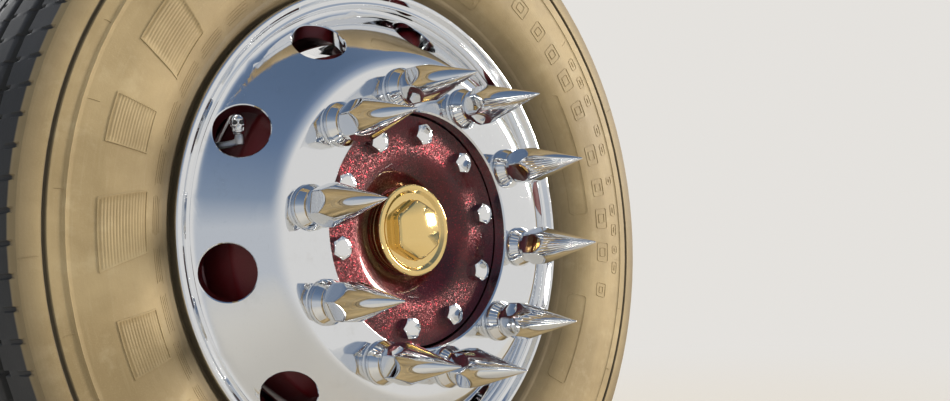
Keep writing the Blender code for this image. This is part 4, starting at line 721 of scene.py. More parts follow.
def makeMarks():
    random.seed(7)
    form = bmesh.new()
    for spot in padSpots:
        ribbedPad(form, *spot)
    for inner, outer, bars in barSpots:
        for middle, width in bars:
            beadLoop(form, roundBox(middle, width, inner, outer, 0.003), width=0.0012)
            low, high = inner + marks["inset"], outer - marks["inset"]
            beadLoop(form, roundBox(middle, width * 0.45, low, high, 0.0012), width=0.0009)
    for middle, width, inner, outer in panelSpots:
        beadLoop(form, roundBox(middle, width, inner, outer, 0.005))
    for middle in [114 + 8.6 * step for step in range(17)]:
        for lane in range(4):
            radius = 0.3205 + lane * 0.0032
            spread = math.radians(2.8 + random.random())
            centre = math.radians(middle)
            spots = [(radius, centre - spread + spread * 2 * step / 5) for step in range(6)]
            beadLoop(form, spots, closed=False, width=0.0008, rise=0.00045)
    for step in range(36):
        angle = math.radians(step * 10 + random.uniform(-2, 2))
        reach = random.choice((0.007, 0.011, 0.016))
        start = random.choice((0.4225, 0.4225, 0.405, 0.444))
        line = [(start, angle), (start + reach / 2, angle), (start + reach, angle + 0.002)]
        beadLoop(form, line, closed=False, width=0.0007, rise=0.0005)
    seam = [(0.33 + 0.0086 * step, math.radians(63 + 1.25 * step)) for step in range(11)]
    beadLoop(form, seam, closed=False, width=0.001, rise=0.0006)
    bmesh.ops.recalc_face_normals(form, faces=form.faces)
    inboard = form.copy()
    bmesh.ops.transform(inboard, matrix=Matrix.Diagonal((1, 1, -1, 1)), verts=inboard.verts)
    bmesh.ops.reverse_faces(inboard, faces=inboard.faces)
    for name, side in (("tyre_marks", form), ("tyre_marks_inboard", inboard)):
        makePiece(name, side, wheelPlace, "rubber", "wheel_body", sharp=math.radians(50))


# disc wheel: turned strips joined by ten patches that each hold a hand hole

wheel = {
    "bore": 0.1405, "outset": 0.1515, "thickness": 0.0245, "nutFace": 0.206, "nutRound": 0.03,
    "foot": 0.269, "gutterRound": 0.008, "gutter": 0.2762, "coneThickness": 0.018,
    "lipInner": 0.279, "lipOuter": 0.287, "lipDepth": 0.0055, "lipFace": 0.2912,
    "seat": 0.28575, "half": 0.1143, "flangeHeight": 0.0127, "flangeThick": 0.0147, "flangeRound": 0.005,
    "seatWidth": 0.031, "well": 0.249, "wellOut": 0.06, "wellIn": 0.006, "wall": 0.009, "rampEnd": -0.045,
    "rampDrop": 0.0045, "inside": 0.2575, "shelf": 0.08, "chamfer": 0.0018,
    "holeRadius": 0.031, "holeCircle": 0.2473, "holeEdge": 0.0011,
    "patchLow": 0.2215, "patchHigh": 0.2748, "backLow": 0.208, "backHigh": 0.2573,
    "boreSeam": 0.01, "punchDepth": 0.04,
    "arcSteps": 28, "sideSteps": 13, "rings": 8,
}


def coneHeight(radius):
    return wheel["outset"] + wheel["thickness"] - (radius - wheel["nutFace"])


def frontLine():
    top = wheel["outset"] + wheel["thickness"]
    flange = wheel["half"] + wheel["flangeThick"]
    rows = [
        (wheel["bore"], top - wheel["boreSeam"], 0),
        (wheel["bore"], top - wheel["chamfer"], 0.0004),
        (wheel["bore"] + wheel["chamfer"], top, 0.0005),
        (wheel["nutFace"], top, wheel["nutRound"]),
        (wheel["foot"], coneHeight(wheel["foot"]), wheel["gutterRound"]),
        (wheel["gutter"], coneHeight(wheel["foot"]), 0.001),
        (wheel["lipInner"], flange - wheel["lipDepth"], 0.0014),
        ((wheel["lipInner"] + wheel["lipOuter"]) / 2, flange - wheel["lipDepth"] - 0.001, 0.003),
        (wheel["lipOuter"], flange - wheel["lipDepth"], 0.0012),
        (wheel["lipFace"], flange, 0.0018),
        (wheel["seat"] + wheel["flangeHeight"], flange, wheel["flangeRound"]),
        (wheel["seat"] + wheel["flangeHeight"], wheel["half"], 0),
    ]
    return roundedLine(rows, closed=False, stepAngle=math.radians(5))


def heightAt(line, radius):
    for (low, lowHeight), (high, highHeight) in zip(line, line[1:]):
        if low <= radius <= high and high > low:
            return lowHeight + (highHeight - lowHeight) * (radius - low) / (high - low)
    return line[-1][1]


def rimLine():
    seat, half, flangeRound = wheel["seat"], wheel["half"], wheel["flangeRound"]
    brow = seat + wheel["flangeHeight"]
    flange = half + wheel["flangeThick"]
    drop = wheel["seatWidth"] * math.tan(math.radians(15))
    seatEnd = half - wheel["seatWidth"]
    ramp = seat - drop - wheel["rampDrop"]
    rows = [
        (brow, half, 0), (seat, half, 0.002), (seat - drop, seatEnd, 0.006),
        (wheel["well"], wheel["wellOut"], 0.008),
        (wheel["well"], wheel["wellIn"], 0.008), (ramp, wheel["rampEnd"], 0.008),
        (seat - drop, -seatEnd, 0.006),
        (seat, -half, 0.002), (brow, -half, 0.001), (brow, -flange, flangeRound),
        (wheel["lipFace"], -flange, 0.003),
        (seat - wheel["wall"], -half, 0.006), (ramp - wheel["wall"], wheel["rampEnd"], 0.008),
        (wheel["well"] - wheel["wall"], wheel["wellIn"], 0.008),
        (wheel["well"] - wheel["wall"], wheel["shelf"], 0.003),
        (wheel["inside"], wheel["shelf"], 0.004), (wheel["inside"], backHeight(wheel["inside"]), 0),
        (wheel["backHigh"], backHeight(wheel["backHigh"]), 0),
    ]
    return roundedLine(rows, closed=False)


def backHeight(radius):
    return coneHeight(radius) - wheel["coneThickness"] / math.cos(math.pi / 4)


def backLine():
    turnIn = wheel["nutFace"] - wheel["coneThickness"] / math.cos(math.pi / 4) + wheel["thickness"]
    rows = [
        (wheel["backLow"], backHeight(wheel["backLow"]), 0), (turnIn, wheel["outset"], 0.006),
        (wheel["bore"], wheel["outset"], 0),
        (wheel["bore"], wheel["outset"] + wheel["thickness"] - wheel["boreSeam"], 0),
    ]
    return roundedLine(rows, closed=False)


def holeColumns(low, high, half):  # radius and angle all round a patch
    corners = ((low, -half), (low, half), (high, half), (high, -half))
    columns = []
    for index, (radius, lean) in enumerate(corners):
        nextRadius, nextLean = corners[(index + 1) % 4]
        steps = wheel["sideSteps"] if index % 2 else wheel["arcSteps"]
        columns += [(radius + (nextRadius - radius) * step / steps, lean + (nextLean - lean) * step / steps)
                    for step in range(steps)]
    return columns


def findShare(test):
    low, high = 0, 1
    for _ in range(26):
        middle = (low + high) / 2
        if test(middle) < 0:
            low = middle
        else:
            high = middle
    return (low + high) / 2


def makeHolePatch(form, angle, line):
    slope = math.pi / 4
    radial = Vector((math.cos(angle), math.sin(angle), 0))
    normal = radial * math.sin(slope) + Vector((0, 0, math.cos(slope)))
    middle = onCircle(wheel["holeCircle"], angle, coneHeight(wheel["holeCircle"]))

    def off(point):
        away = point - middle
        return away - normal * away.dot(normal)

    def frontHeight(radius):
        return heightAt(line, radius)

    def fan(heights, low, high, centreRadius, holeSize):
        rings = [[] for _ in range(wheel["rings"])]
        for radius, lean in holeColumns(low, high, math.pi / axes["studs"]):
            def at(share):
                spot = centreRadius + (radius - centreRadius) * share
                return onCircle(spot, angle + lean * share, heights(spot))
            edge = findShare(lambda share: off(at(share)).length - holeSize)
            for index, ring in enumerate(rings):
                ease = (index / (wheel["rings"] - 1)) ** 1.4
                ring.append(at(edge + (1 - edge) * ease))
        return rings

    front = fan(frontHeight, wheel["patchLow"], wheel["patchHigh"], wheel["holeCircle"],
                wheel["holeRadius"] + wheel["holeEdge"])
    back = fan(backHeight, wheel["backLow"], wheel["backHigh"],
               wheel["holeCircle"] - wheel["coneThickness"] * math.sin(slope), wheel["holeRadius"])
    edgeRing = []
    backRing = []
    for point in front[0]:
        away = off(point).normalized()
        start = point - away * wheel["holeEdge"] - normal * wheel["holeEdge"] * 0.8

        def depth(share):
            spot = start - normal * wheel["punchDepth"] * share
            return backHeight(Vector(spot[:2]).length) - spot.z
        edgeRing.append(start)
        backRing.append(start - normal * wheel["punchDepth"] * findShare(depth))
    skin(front[::-1] + [edgeRing], form=form)
    skin([edgeRing, backRing], form=form)
    skin([backRing] + back[1:], form=form)


def makeDiscWheel():
    form = bmesh.new()
    line = frontLine()
    low = wheel["patchLow"]
    high = wheel["patchHigh"]
    steps = wheel["arcSteps"] * axes["studs"]
    angles = evenAngles(steps, holeAngle(0) - math.pi / axes["studs"])
    inner = [point for point in line if point[0] < low - mergeGap and point[1] > wheel["outset"]]
    inner.append((low, heightAt(line, low)))
    outer = [(high, heightAt(line, high))] + [point for point in line if point[0] > high + mergeGap]
    turn(inner, angles, closed=False, form=form)
    turn(outer, angles, closed=False, form=form)
    turn(rimLine(), angles, closed=False, form=form)
    turn(backLine(), angles, closed=False, form=form)
    for index in range(axes["studs"]):
        makeHolePatch(form, holeAngle(index), line)
    weld(form)
    makePiece("disc_wheel_fine", form, wheelPlace, "aluminium", "wheel_body", "disc_wheel",
              sharp=math.radians(30))


# nut covers


def offFlat(angle):  # angle from the middle of a hexagon's nearest flat
    return (angle + math.pi / 6) % (math.pi / 3) - math.pi / 6


def hexColumns(*leans):
    spread = [-lean for lean in reversed(leans)] + [0, *leans]
    return [math.radians(60 * side + lean) for side in range(6) for lean in spread]


cover = {
    "circle": 0.1675, "seat": 0.1763, "length": 0.1255, "skirt": 0.0255, "skirtHeight": 0.0165,
    "neck": 0.0195,
    "neckTop": 0.02, "flats": 0.0208, "footTop": 0.0265, "coneFoot": 0.042, "tip": 0.0006, "soft": 0.00035,
}


def coverRows():
    corner = cover["flats"] / math.cos(math.pi / 6)
    slope = (corner - cover["tip"]) / (cover["length"] - cover["coneFoot"])
    flare = (corner - cover["neck"]) / (cover["footTop"] - cover["neckTop"])
    columns = hexColumns(8, 15, 21, 26, 29.2)
    skirtLine = roundedLine([
        (cover["skirt"] - 0.0012, 0, 0), (cover["skirt"], 0.0012, 0.0008),
        (cover["skirt"] - 0.0006, 0.005, 0.004),
        (cover["skirt"] - 0.0062, cover["skirtHeight"] - 0.0025, 0.006),
        (cover["neck"] - 0.0009, cover["skirtHeight"], 0.0012),
        (cover["neck"] - 0.0004, cover["neckTop"], 0)],
        closed=False)
    rows = [circleRow(radius, height, columns) for radius, height in [(0, 0)] + skirtLine]
    soft = cover["soft"]
    bands = []
    for angle in columns:
        flat = cover["flats"] / math.cos(offFlat(angle))
        low = cover["neckTop"] + (flat - cover["neck"]) / flare
        high = cover["coneFoot"] + (corner - flat) / slope
        band = []
        for share in (0.25, 0.6, 0.9):
            height = cover["neckTop"] + (low - cover["neckTop"]) * share
            band.append((cover["neck"] + (height - cover["neckTop"]) * flare, height))
        band.append((flat - soft * 0.35, low - soft))
        band.append((flat, low + soft))
        band += [(flat, low + (high - low) * share) for share in (0.25, 0.5, 0.75)]
        band.append((flat, high - soft))
        band.append((flat - soft * 0.35, high + soft))
        for share in (0.04, 0.12, 0.24, 0.38, 0.52, 0.66, 0.79, 0.9, 0.97):
            height = high + (cover["length"] - high) * share
            band.append((flat - (height - high) * slope, height))
        band.append((0.0007, cover["length"] - 0.0009))
        band.append((0, cover["length"]))
        bands.append(band)
    for level in zip(*bands):
        rows.append([onCircle(radius, angle, height) for (radius, height), angle in zip(level, columns)])
    return rows


def makeCovers():
    makeRing("spiked_cover", "nut_cover", coverRows(), cover["circle"], cover["seat"],
             studAngle, 0, math.radians(48))


# hub plate, bolts and cap

plate = {
    "edge": 0.1393, "face": 0.157, "dish": 0.088, "dishRound": 0.034, "neckBore": 0.0503, "neckHeight": 0.134,
    "neckWidth": 0.004, "back": 0.1473, "mouth": 0.088, "mouthDepth": 0.023, "spigot": 0.0617,
    "neckEnd": 0.115,
}


def makePlate():
    neck = plate["neckBore"] + plate["neckWidth"]
    rows = [
        (plate["neckBore"], plate["neckHeight"], 0.0008), (neck, plate["neckHeight"], 0.001),
        (neck + plate["neckWidth"], plate["neckHeight"] + plate["neckWidth"], plate["neckWidth"]),
        (plate["dish"], plate["face"], plate["dishRound"]),
        (plate["edge"], plate["face"], 0.001), (plate["edge"], plate["back"], 0.0008),
        (plate["mouth"], plate["back"], 0), (plate["spigot"], plate["back"] - plate["mouthDepth"], 0),
        (plate["spigot"], plate["neckEnd"], 0), (plate["neckBore"], plate["neckEnd"], 0),
    ]
    form = weld(turn(roundedLine(rows, stepAngle=math.radians(6)), evenAngles(216)))
    makePiece("hub_plate_fine", form, wheelPlace, "flake", "wheel_body", "hub_plate")


bolt = {"circle": 0.1174, "flats": 0.0118, "head": 0.0097, "seat": 0.1573, "spin": 0.37}

def hexRows(flats, head):  # hexagonal head with a round chamfer on its top
    corner = flats / math.cos(math.pi / 6)
    columns = hexColumns(8, 16, 24, 29)
    outline = []
    for angle in columns:
        flat = flats / math.cos(offFlat(angle))
        fall = (flat - flats) / (corner - flats)
        outline.append((flat, angle, head - flats * (0.085 + fall * 0.12)))
    rows = [circleRow(0, 0, columns)]
    for height in (0, head * 0.4):
        rows.append([onCircle(flat, angle, height) for flat, angle, _ in outline])
    for inset, rise in ((0, 0), (0.06, 0.034)):
        rows.append([onCircle(flat - flats * inset, angle, height + flats * rise)
                     for flat, angle, height in outline])
    for share, fall in ((1, 0.1), (0.94, 0.07), (0.75, 0.042), (0.5, 0.018), (0.25, 0.004), (0, 0)):
        rows.append(circleRow(flats * 0.93 * share, head - flats * fall, columns))
    return rows


def makeBolts():
    rows = hexRows(bolt["flats"], bolt["head"])
    makeRing("plate_bolt", "hub_bolt", rows, bolt["circle"], bolt["seat"],
             holeAngle, bolt["spin"], math.radians(50))


cap = {
    "flange": 0.056, "flangeThick": 0.0065, "flangeRound": 0.0031, "face": 0.159, "body": 0.05,
    "bodyEnd": 0.12, "rim": 0.009, "recess": 0.0035, "flats": 0.0325, "corner": 0.011, "core": 0.0305,
    "shoulder": 0.011, "crown": 0.0065, "fall": 0.0052,
}


def bossRadius(angle):  # hexagon with round corners
    lean = offFlat(angle)
    centre = (cap["flats"] - cap["corner"]) / math.cos(math.pi / 6)
    if abs(lean) <= math.atan2(centre / 2, cap["flats"]):  # still on the flat
        return cap["flats"] / math.cos(lean)
    away = math.pi / 6 - abs(lean)
    return centre * math.cos(away) + math.sqrt(cap["corner"] ** 2 - (centre * math.sin(away)) ** 2)


def makeCap():
    recess = cap["face"] - cap["recess"]
    inner = cap["flange"] - cap["rim"]
    body = cap["body"]
    shoulder = cap["face"] - cap["flangeThick"]
    rows = [
        (cap["core"], recess, 0), (inner - 0.0022, recess, 0.0012),
        (inner + 0.002, cap["face"] - 0.0003, 0.0016),
        (cap["flange"] - 0.0004, cap["face"], cap["flangeRound"]),
        (cap["flange"], shoulder, cap["flangeRound"]),
        (body + 0.0004, shoulder, 0.001), (body, 0.1465, 0), (body - 0.0008, 0.1455, 0.0005),
        (body - 0.0008, 0.1405, 0.0005), (body, 0.1395, 0), (body, cap["bodyEnd"], 0),
        (cap["core"], cap["bodyEnd"], 0),
    ]
    angles = evenAngles(144)
    form = turn(roundedLine(rows, stepAngle=math.radians(6)), angles)
    top = recess + cap["shoulder"] + cap["crown"]
    boss = [(bossRadius(angle), angle) for angle in angles]

    def dome(radius):
        return top - cap["fall"] * (radius / cap["flats"]) ** 2

    rows = [circleRow(0, top, angles)]
    for share in (0.15, 0.3, 0.45, 0.6, 0.72, 0.82, 0.89, 0.93):
        rows.append([onCircle(radius * share, angle, dome(radius * share)) for radius, angle in boss])
    for share, drop in ((0.962, 0.0003), (0.985, 0.0011), (0.996, 0.0022), (1, 0.0036), (1, 0.007)):
        rows.append([onCircle(radius * share, angle, dome(radius) - drop) for radius, angle in boss])
    for grow, rise in ((0.0002, 0.0016), (0.0014, 0.0002), (0.0016, -0.0006)):  # a soft foot
        rows.append([onCircle(radius + grow, angle, recess + rise) for radius, angle in boss])
    rows.append(circleRow(0, recess - 0.001, angles))
    skin(rows, form=form)
    weld(form)
    makePiece("hub_cap_fine", form, wheelPlace, "brass", "wheel_body", "hub_cap", sharp=math.radians(40))


# closed shells that are added to a form, each in its own place

def joinForm(form, part):
    mesh = meshFrom("part", part)
    form.from_mesh(mesh)
    bpy.data.meshes.remove(mesh)


def shell(form, rows, spot=still, loopRows=False):
    joinForm(form, weld(skin([[spot @ point for point in row] for row in rows], loopRows=loopRows)))


def spun(form, line, spot=still, sides=96, loopRows=False):
    shell(form, [circleRow(radius, height, evenAngles(sides)) for radius, height in line], spot, loopRows)


def disc(form, radius, low, high, spot=still, edge=0, sides=96):
    rows = [(0, low, 0), (radius, low, edge), (radius, high, edge), (0, high, 0)]
    spun(form, roundedLine(rows, closed=False, stepAngle=math.radians(15)), spot, sides)


def prism(form, outline, low, high, spot=still):
    count = len(outline)
    base = [form.verts.new(spot @ Vector((x, y, low))) for x, y in outline]
    top = [form.verts.new(spot @ Vector((x, y, high))) for x, y in outline]
    faces = [form.faces.new(base[::-1]), form.faces.new(top)]
    for index in range(count):
        after = (index + 1) % count
        faces.append(form.faces.new((base[index], base[after], top[after], top[index])))
    bmesh.ops.recalc_face_normals(form, faces=faces)


def oval(form, halfSizes, spot, steps=28):
    part = bmesh.new()
    bmesh.ops.create_uvsphere(part, u_segments=steps, v_segments=steps // 2, radius=1)
    bmesh.ops.transform(part, matrix=spot @ Matrix.Diagonal((*halfSizes, 1)), verts=part.verts)
    joinForm(form, part)


def box(form, low, high, spot=still):
    outline = [(low[0], low[1]), (high[0], low[1]), (high[0], high[1]), (low[0], high[1])]
    prism(form, outline, low[2], high[2], spot)


def hexHead(form, flats, head, spot=still):
    shell(form, hexRows(flats, head), spot)


def fastener(form, flats, head, spot=still):  # washer, head and the thread's rounded end
    disc(form, flats * 1.55, 0, flats * 0.22, spot, flats * 0.06, 40)
    hexHead(form, flats, head, spot @ move(0, 0, flats * 0.2))
    disc(form, flats * 0.56, 0, head + flats * 0.52, spot, flats * 0.12, 32)


def greaseNipple(form, spot):
    rows = [(0, 0, 0), (0.0046, 0, 0), (0.0046, 0.0036, 0.0004), (0.0028, 0.0044, 0),
            (0.0026, 0.008, 0), (0.0034, 0.01, 0.0006), (0.003, 0.0122, 0.0008), (0, 0.0132, 0)]
    spun(form, roundedLine(rows, closed=False), spot, 24)


def lay(place, outward):  # local +Z turned to point outward at a place
    return Matrix.Translation(place) @ Vector(outward).to_track_quat("Z", "Y").to_matrix().to_4x4()


def barOutline(first, firstRadius, last, lastRadius, stepAngle=math.radians(5)):
    start = Vector(first)
    along = Vector(last) - start
    heading = math.atan2(along.y, along.x)
    spread = math.acos((firstRadius - lastRadius) / along.length)
    tip = arcLine(last, lastRadius, heading - spread, heading + spread, stepAngle)
    return tip + arcLine(first, firstRadius, heading + spread, heading - spread + math.tau, stepAngle)


# overlapping shells melt into one soft skin where a voxel size is given, then the bores are cut

forgeScale = 100  # the modifiers work on a large copy, so that small pieces keep their detail


def forge(name, form, cuts, voxel, rounds, place, finish, body, node, cutsOverlap=False):
    item = addItem(name + "_rough", meshFrom(name + "_rough", form))
    tool = addItem(name + "_bores", meshFrom(name + "_bores", cuts))
    for helper in (item, tool):
        helper.data.transform(Matrix.Scale(forgeScale, 4))
    if voxel:
        melt = item.modifiers.new("melt", "REMESH")
        melt.mode = "VOXEL"
        melt.voxel_size = voxel * forgeScale
        ease = item.modifiers.new("ease", "SMOOTH")
        ease.factor = 0.5
        ease.iterations = rounds
    bore = item.modifiers.new("bore", "BOOLEAN")
    bore.object = tool
    bore.operation = "DIFFERENCE"
    bore.solver = "EXACT"
    bore.use_self = cutsOverlap
    bpy.context.view_layer.update()
    done = bpy.data.meshes.new_from_object(item.evaluated_get(bpy.context.evaluated_depsgraph_get()))
    for helper in (item, tool):
        bpy.data.objects.remove(helper, do_unlink=True)
    print("forged", name, len(done.polygons), "faces")
    done.transform(place @ Matrix.Scale(1 / forgeScale, 4))
    dress(done, finish, math.radians(42))
    placePiece(name, done, finish, body, node)


# valve: stem, nut and the skull-shaped cap

valve = {
    "circle": 0.2478, "offHole": math.radians(3.4), "shelf": 0.0803, "radius": 0.004, "nut": 0.0072,
    "nutHeight": 0.006, "rise": 0.012, "footPull": 0.018, "topPull": 0.008, "top": 0.003,
    "skullCircle": 0.2423, "skullOffHole": math.radians(0.4), "skullOutset": 0.1235,
    "sleeve": 0.0047, "knurls": 24,
}


def valvePlaces():
    hole = holeAngle(axes["studs"] - 1)
    foot = onCircle(valve["circle"], hole + valve["offHole"], valve["shelf"])
    neck = onCircle(valve["skullCircle"], hole + valve["skullOffHole"], valve["skullOutset"])
    return foot, neck


def makeStem():
    foot, neck = valvePlaces()
    out = Vector((0, 0, 1))
    up = Vector((0, 1, 0))
    start = foot + out * valve["rise"]
    end = neck - up * valve["top"]
    pulls = (start, start + out * valve["footPull"], end - up * valve["topPull"], end)
    spots = [foot + out * 0.003]
    for step in range(17):
        share = step / 16
        first, middle, last = (pulls[i].lerp(pulls[i + 1], share) for i in range(3))
        spots.append(first.lerp(middle, share).lerp(middle.lerp(last, share), share))
    spots.append(neck)
    form = bmesh.new()
    rows = []
    side = Vector((1, 0, 0))
    for index, spot in enumerate(spots):
        along = (spots[min(index + 1, len(spots) - 1)] - spots[max(index - 1, 0)]).normalized()
        across = (side - along * side.dot(along)).normalized()
        normal = along.cross(across)
        rows.append([spot + (across * math.cos(angle) + normal * math.sin(angle)) * valve["radius"]
                     for angle in evenAngles(28)])
    rows = [[spots[0]] * 28] + rows + [[spots[-1]] * 28]
    shell(form, rows)
    hexHead(form, valve["nut"], valve["nutHeight"], Matrix.Translation(foot))
    disc(form, valve["nut"] * 1.25, 0, 0.0012, Matrix.Translation(foot), 0.0003, 40)
    disc(form, 0.0052, 0.006, 0.0115, Matrix.Translation(foot), 0.0008, 32)
    upward = lay(neck - up * 0.0105, up)
    rows = []
    for height, shrink in ((0, 1), (0, 0), (0.0008, -0.06), (0.007, -0.06), (0.0078, 0), (0.0104, 0.1)):
        rows.append([onCircle(valve["sleeve"] * (1 - shrink) * (1 + 0.035 * (step % 2)), angle, height)
                     for step, angle in enumerate(evenAngles(valve["knurls"] * 2))])
    rows[0] = [onCircle(0, 0, 0)] * valve["knurls"] * 2
    rows.append([onCircle(0, 0, 0.0104)] * valve["knurls"] * 2)
    shell(form, rows, upward)
    makePiece("valve_stem_fine", form, wheelPlace, "zinc", "wheel_body", "valve_stem")


skull = {
    "crown": (0.0085, 0.0105, 0.0088), "crownAt": (0, 0, 0.0136),
    "eye": 0.0026, "eyeAt": (0.0035, -0.0094, 0.0122), "voxel": 0.00034, "turn": math.radians(-32),
    "lumps": (  # half sizes, place; a place off the middle is made on both sides
        ((0.0066, 0.006, 0.0062), (0, -0.0036, 0.0112)),
        ((0.0046, 0.005, 0.0052), (0, -0.0048, 0.0072)),
        ((0.0056, 0.0016, 0.0012), (0, -0.0092, 0.0152)),
        ((0.0024, 0.0032, 0.0014), (0.0048, -0.0064, 0.0094)),
        ((0.0049, 0.0052, 0.0026), (0, -0.0036, 0.0028)),
        ((0.0016, 0.004, 0.0042), (0.005, -0.0012, 0.0062)),
        ((0.0013, 0.0013, 0.0024), (0, -0.0098, 0.0118)),
    ),
    "hollows": (
        ((0.002, 0.004, 0.003), (0.0092, -0.003, 0.012)),
        ((0.0012, 0.003, 0.0018), (0.007, -0.0075, 0.0072)),
    ),
    "teeth": 7, "toothPitch": 0.00115, "toothLow": 0.003, "toothHigh": 0.0066, "biteAt": 0.0048,
    "slit": 0.00016,
}


def skullPlace():
    neck = valvePlaces()[1]
    upright = Matrix.Rotation(-math.pi / 2, 4, "X") @ Matrix.Rotation(skull["turn"], 4, "Z")
    return wheelPlace @ Matrix.Translation(neck + Vector((0, 0.0003, 0))) @ upright


def bothSides(place):
    return [place] if not place[0] else [place, (-place[0], place[1], place[2])]


def makeSkull():
    form = bmesh.new()
    disc(form, 0.0056, 0, 0.007, still, 0.0008, 48)
    oval(form, skull["crown"], move(*skull["crownAt"]), 40)
    for sizes, place in skull["lumps"]:
        for spot in bothSides(place):
            oval(form, sizes, move(*spot))
    cuts = bmesh.new()
    for spot in bothSides(skull["eyeAt"]):
        oval(cuts, (skull["eye"], 0.003, skull["eye"] * 0.95), Matrix.Translation(spot), 32)
    for sizes, place in skull["hollows"]:
        for spot in bothSides(place):
            oval(cuts, sizes, move(*spot))
    for side in (-1, 1):
        nostril = move(side * 0.0006, -0.0102, 0.009) @ Matrix.Rotation(side * -0.3, 4, "Y")
        oval(cuts, (0.0007, 0.002, 0.0014), nostril, 20)
    slit = skull["slit"]
    for index in range(skull["teeth"]):
        middle = (index - (skull["teeth"] - 1) / 2) * skull["toothPitch"]
        low = (middle - slit, -0.0125, skull["toothLow"])
        box(cuts, low, (middle + slit, -0.0068, skull["toothHigh"]))
    box(cuts, (-0.0042, -0.0125, skull["biteAt"] - slit), (0.0042, -0.0072, skull["biteAt"] + slit))
    forge("skull_cap", form, cuts, skull["voxel"], 5, skullPlace(), "chrome", "wheel_body", "valve_cap",
          cutsOverlap=True)
    dark = bmesh.new()
    for x, y, z in bothSides(skull["eyeAt"]):
        oval(dark, (0.0022, 0.0019, 0.0021), move(x, y + 0.0013, z))
    makePiece("skull_sockets", dark, skullPlace(), "black", "wheel_body")


# brake drum, dust shield and the linkage behind them

drum = {
    "pilot": 0.1405, "web": 0.199, "outer": 0.226, "band": 0.232, "bore": 0.2095, "top": 0.1512,
    "webThick": 0.0105, "wall": 0.0165, "shoulder": 0.112, "end": -0.045, "bandWidth": 0.016,
}


def makeDrum():
    bandTop = drum["end"] + drum["bandWidth"]
    rows = [
        (drum["pilot"], drum["top"], 0.0008), (drum["web"], drum["top"], drum["webThick"]),
        (drum["outer"], drum["shoulder"], drum["wall"]), (drum["outer"], 0.062, 0),
        (drum["outer"] + 0.0022, 0.058, 0.001), (drum["outer"] + 0.0022, 0.05, 0.001),
        (drum["outer"], 0.046, 0), (drum["outer"], bandTop + 0.006, 0.004),
        (drum["band"], bandTop, 0.002), (drum["band"], drum["end"], 0.002),
        (drum["bore"], drum["end"], 0.0015),
        (drum["bore"], drum["shoulder"] - drum["wall"], drum["wall"]),
        (0.196, drum["top"] - drum["webThick"], 0.006),
        (drum["pilot"], drum["top"] - drum["webThick"], 0.0008),
    ]
    form = bmesh.new()
    spun(form, roundedLine(rows), still, 144, True)
    makePiece("brake_drum_fine", form, wheelPlace, "drum", "wheel_body", "brake_drum")


shield = {
    "inner": 0.0965, "top": -0.0383, "step": 0.19, "drop": 0.013,
    "outer": 0.236, "thick": 0.003, "edge": 0.006,
    "camHole": 0.044, "bolts": 6, "boltCircle": 0.1045, "plugCircle": 0.16,
}


def makeShield():
    top = shield["top"]
    outerTop = top - shield["drop"]
    thick = shield["thick"]
    stepEnd = shield["step"] + shield["drop"]
    foot = outerTop - thick - shield["edge"]
    web = [(shield["inner"], 0, 0.001), (0.117, 0, 0.003), (0.12, -0.0012, 0.003), (0.18, -0.0012, 0.003),
           (0.183, 0, 0.003)]
    rows = [(radius, top + drop, soft) for radius, drop, soft in web]
    rows += [
        (shield["step"], top, 0.004), (stepEnd, outerTop, 0.004), (shield["outer"], outerTop, 0.0025),
        (shield["outer"], foot, 0.001), (shield["outer"] - thick, foot, 0.001),
        (shield["outer"] - thick, outerTop - thick, 0.0015), (stepEnd - 0.0015, outerTop - thick, 0.004),
        (shield["step"] - 0.0015, top - thick, 0.004),
    ]
    rows += [(radius, top - thick + drop, soft) for radius, drop, soft in reversed(web)]
    form = bmesh.new()
    spun(form, roundedLine(rows), still, 144, True)
    cuts = bmesh.new()
    disc(cuts, shield["camHole"], outerTop - 0.02, top + 0.01, move(axes["camDistance"], 0, 0))
    forge("dust_shield_fine", form, cuts, None, 0, brakePlace, "black", "knuckle_body", "dust_shield")
    plugs = bmesh.new()
    for angle in (math.radians(120), math.radians(240)):
        spot = lay(onCircle(shield["plugCircle"], angle, top - thick - 0.001), (0, 0, -1))
        disc(plugs, 0.015, 0, 0.003, spot, 0.0012, 64)
        disc(plugs, 0.01, 0.0028, 0.0052, spot, 0.0016, 48)
    makePiece("shield_plugs", plugs, brakePlace, "black", "knuckle_body")
    bolts = bmesh.new()
    for angle in evenAngles(shield["bolts"], math.radians(30)):
        fastener(bolts, 0.0052, 0.0048, lay(onCircle(shield["boltCircle"], angle, top - thick), (0, 0, -1)))
    makePiece("shield_bolts", bolts, brakePlace, "zinc", "knuckle_body")


# knuckle with its arms and caps, in the leaning kingpin's frame

knuckle = {
    "flange": 0.095, "flangeOut": -0.038, "flangeIn": -0.062, "halfDepth": 0.046, "ear": 0.045, "gap": 0.071,
    "earTop": 0.125, "bore": 0.023, "voxel": 0.0032, "seatClear": 0.0006, "boltCircle": 0.079,
}

yokePlace = pinPlace @ Matrix(((0, 0, 1, 0), (1, 0, 0, 0), (0, 1, 0, 0), (0, 0, 0, 1)))


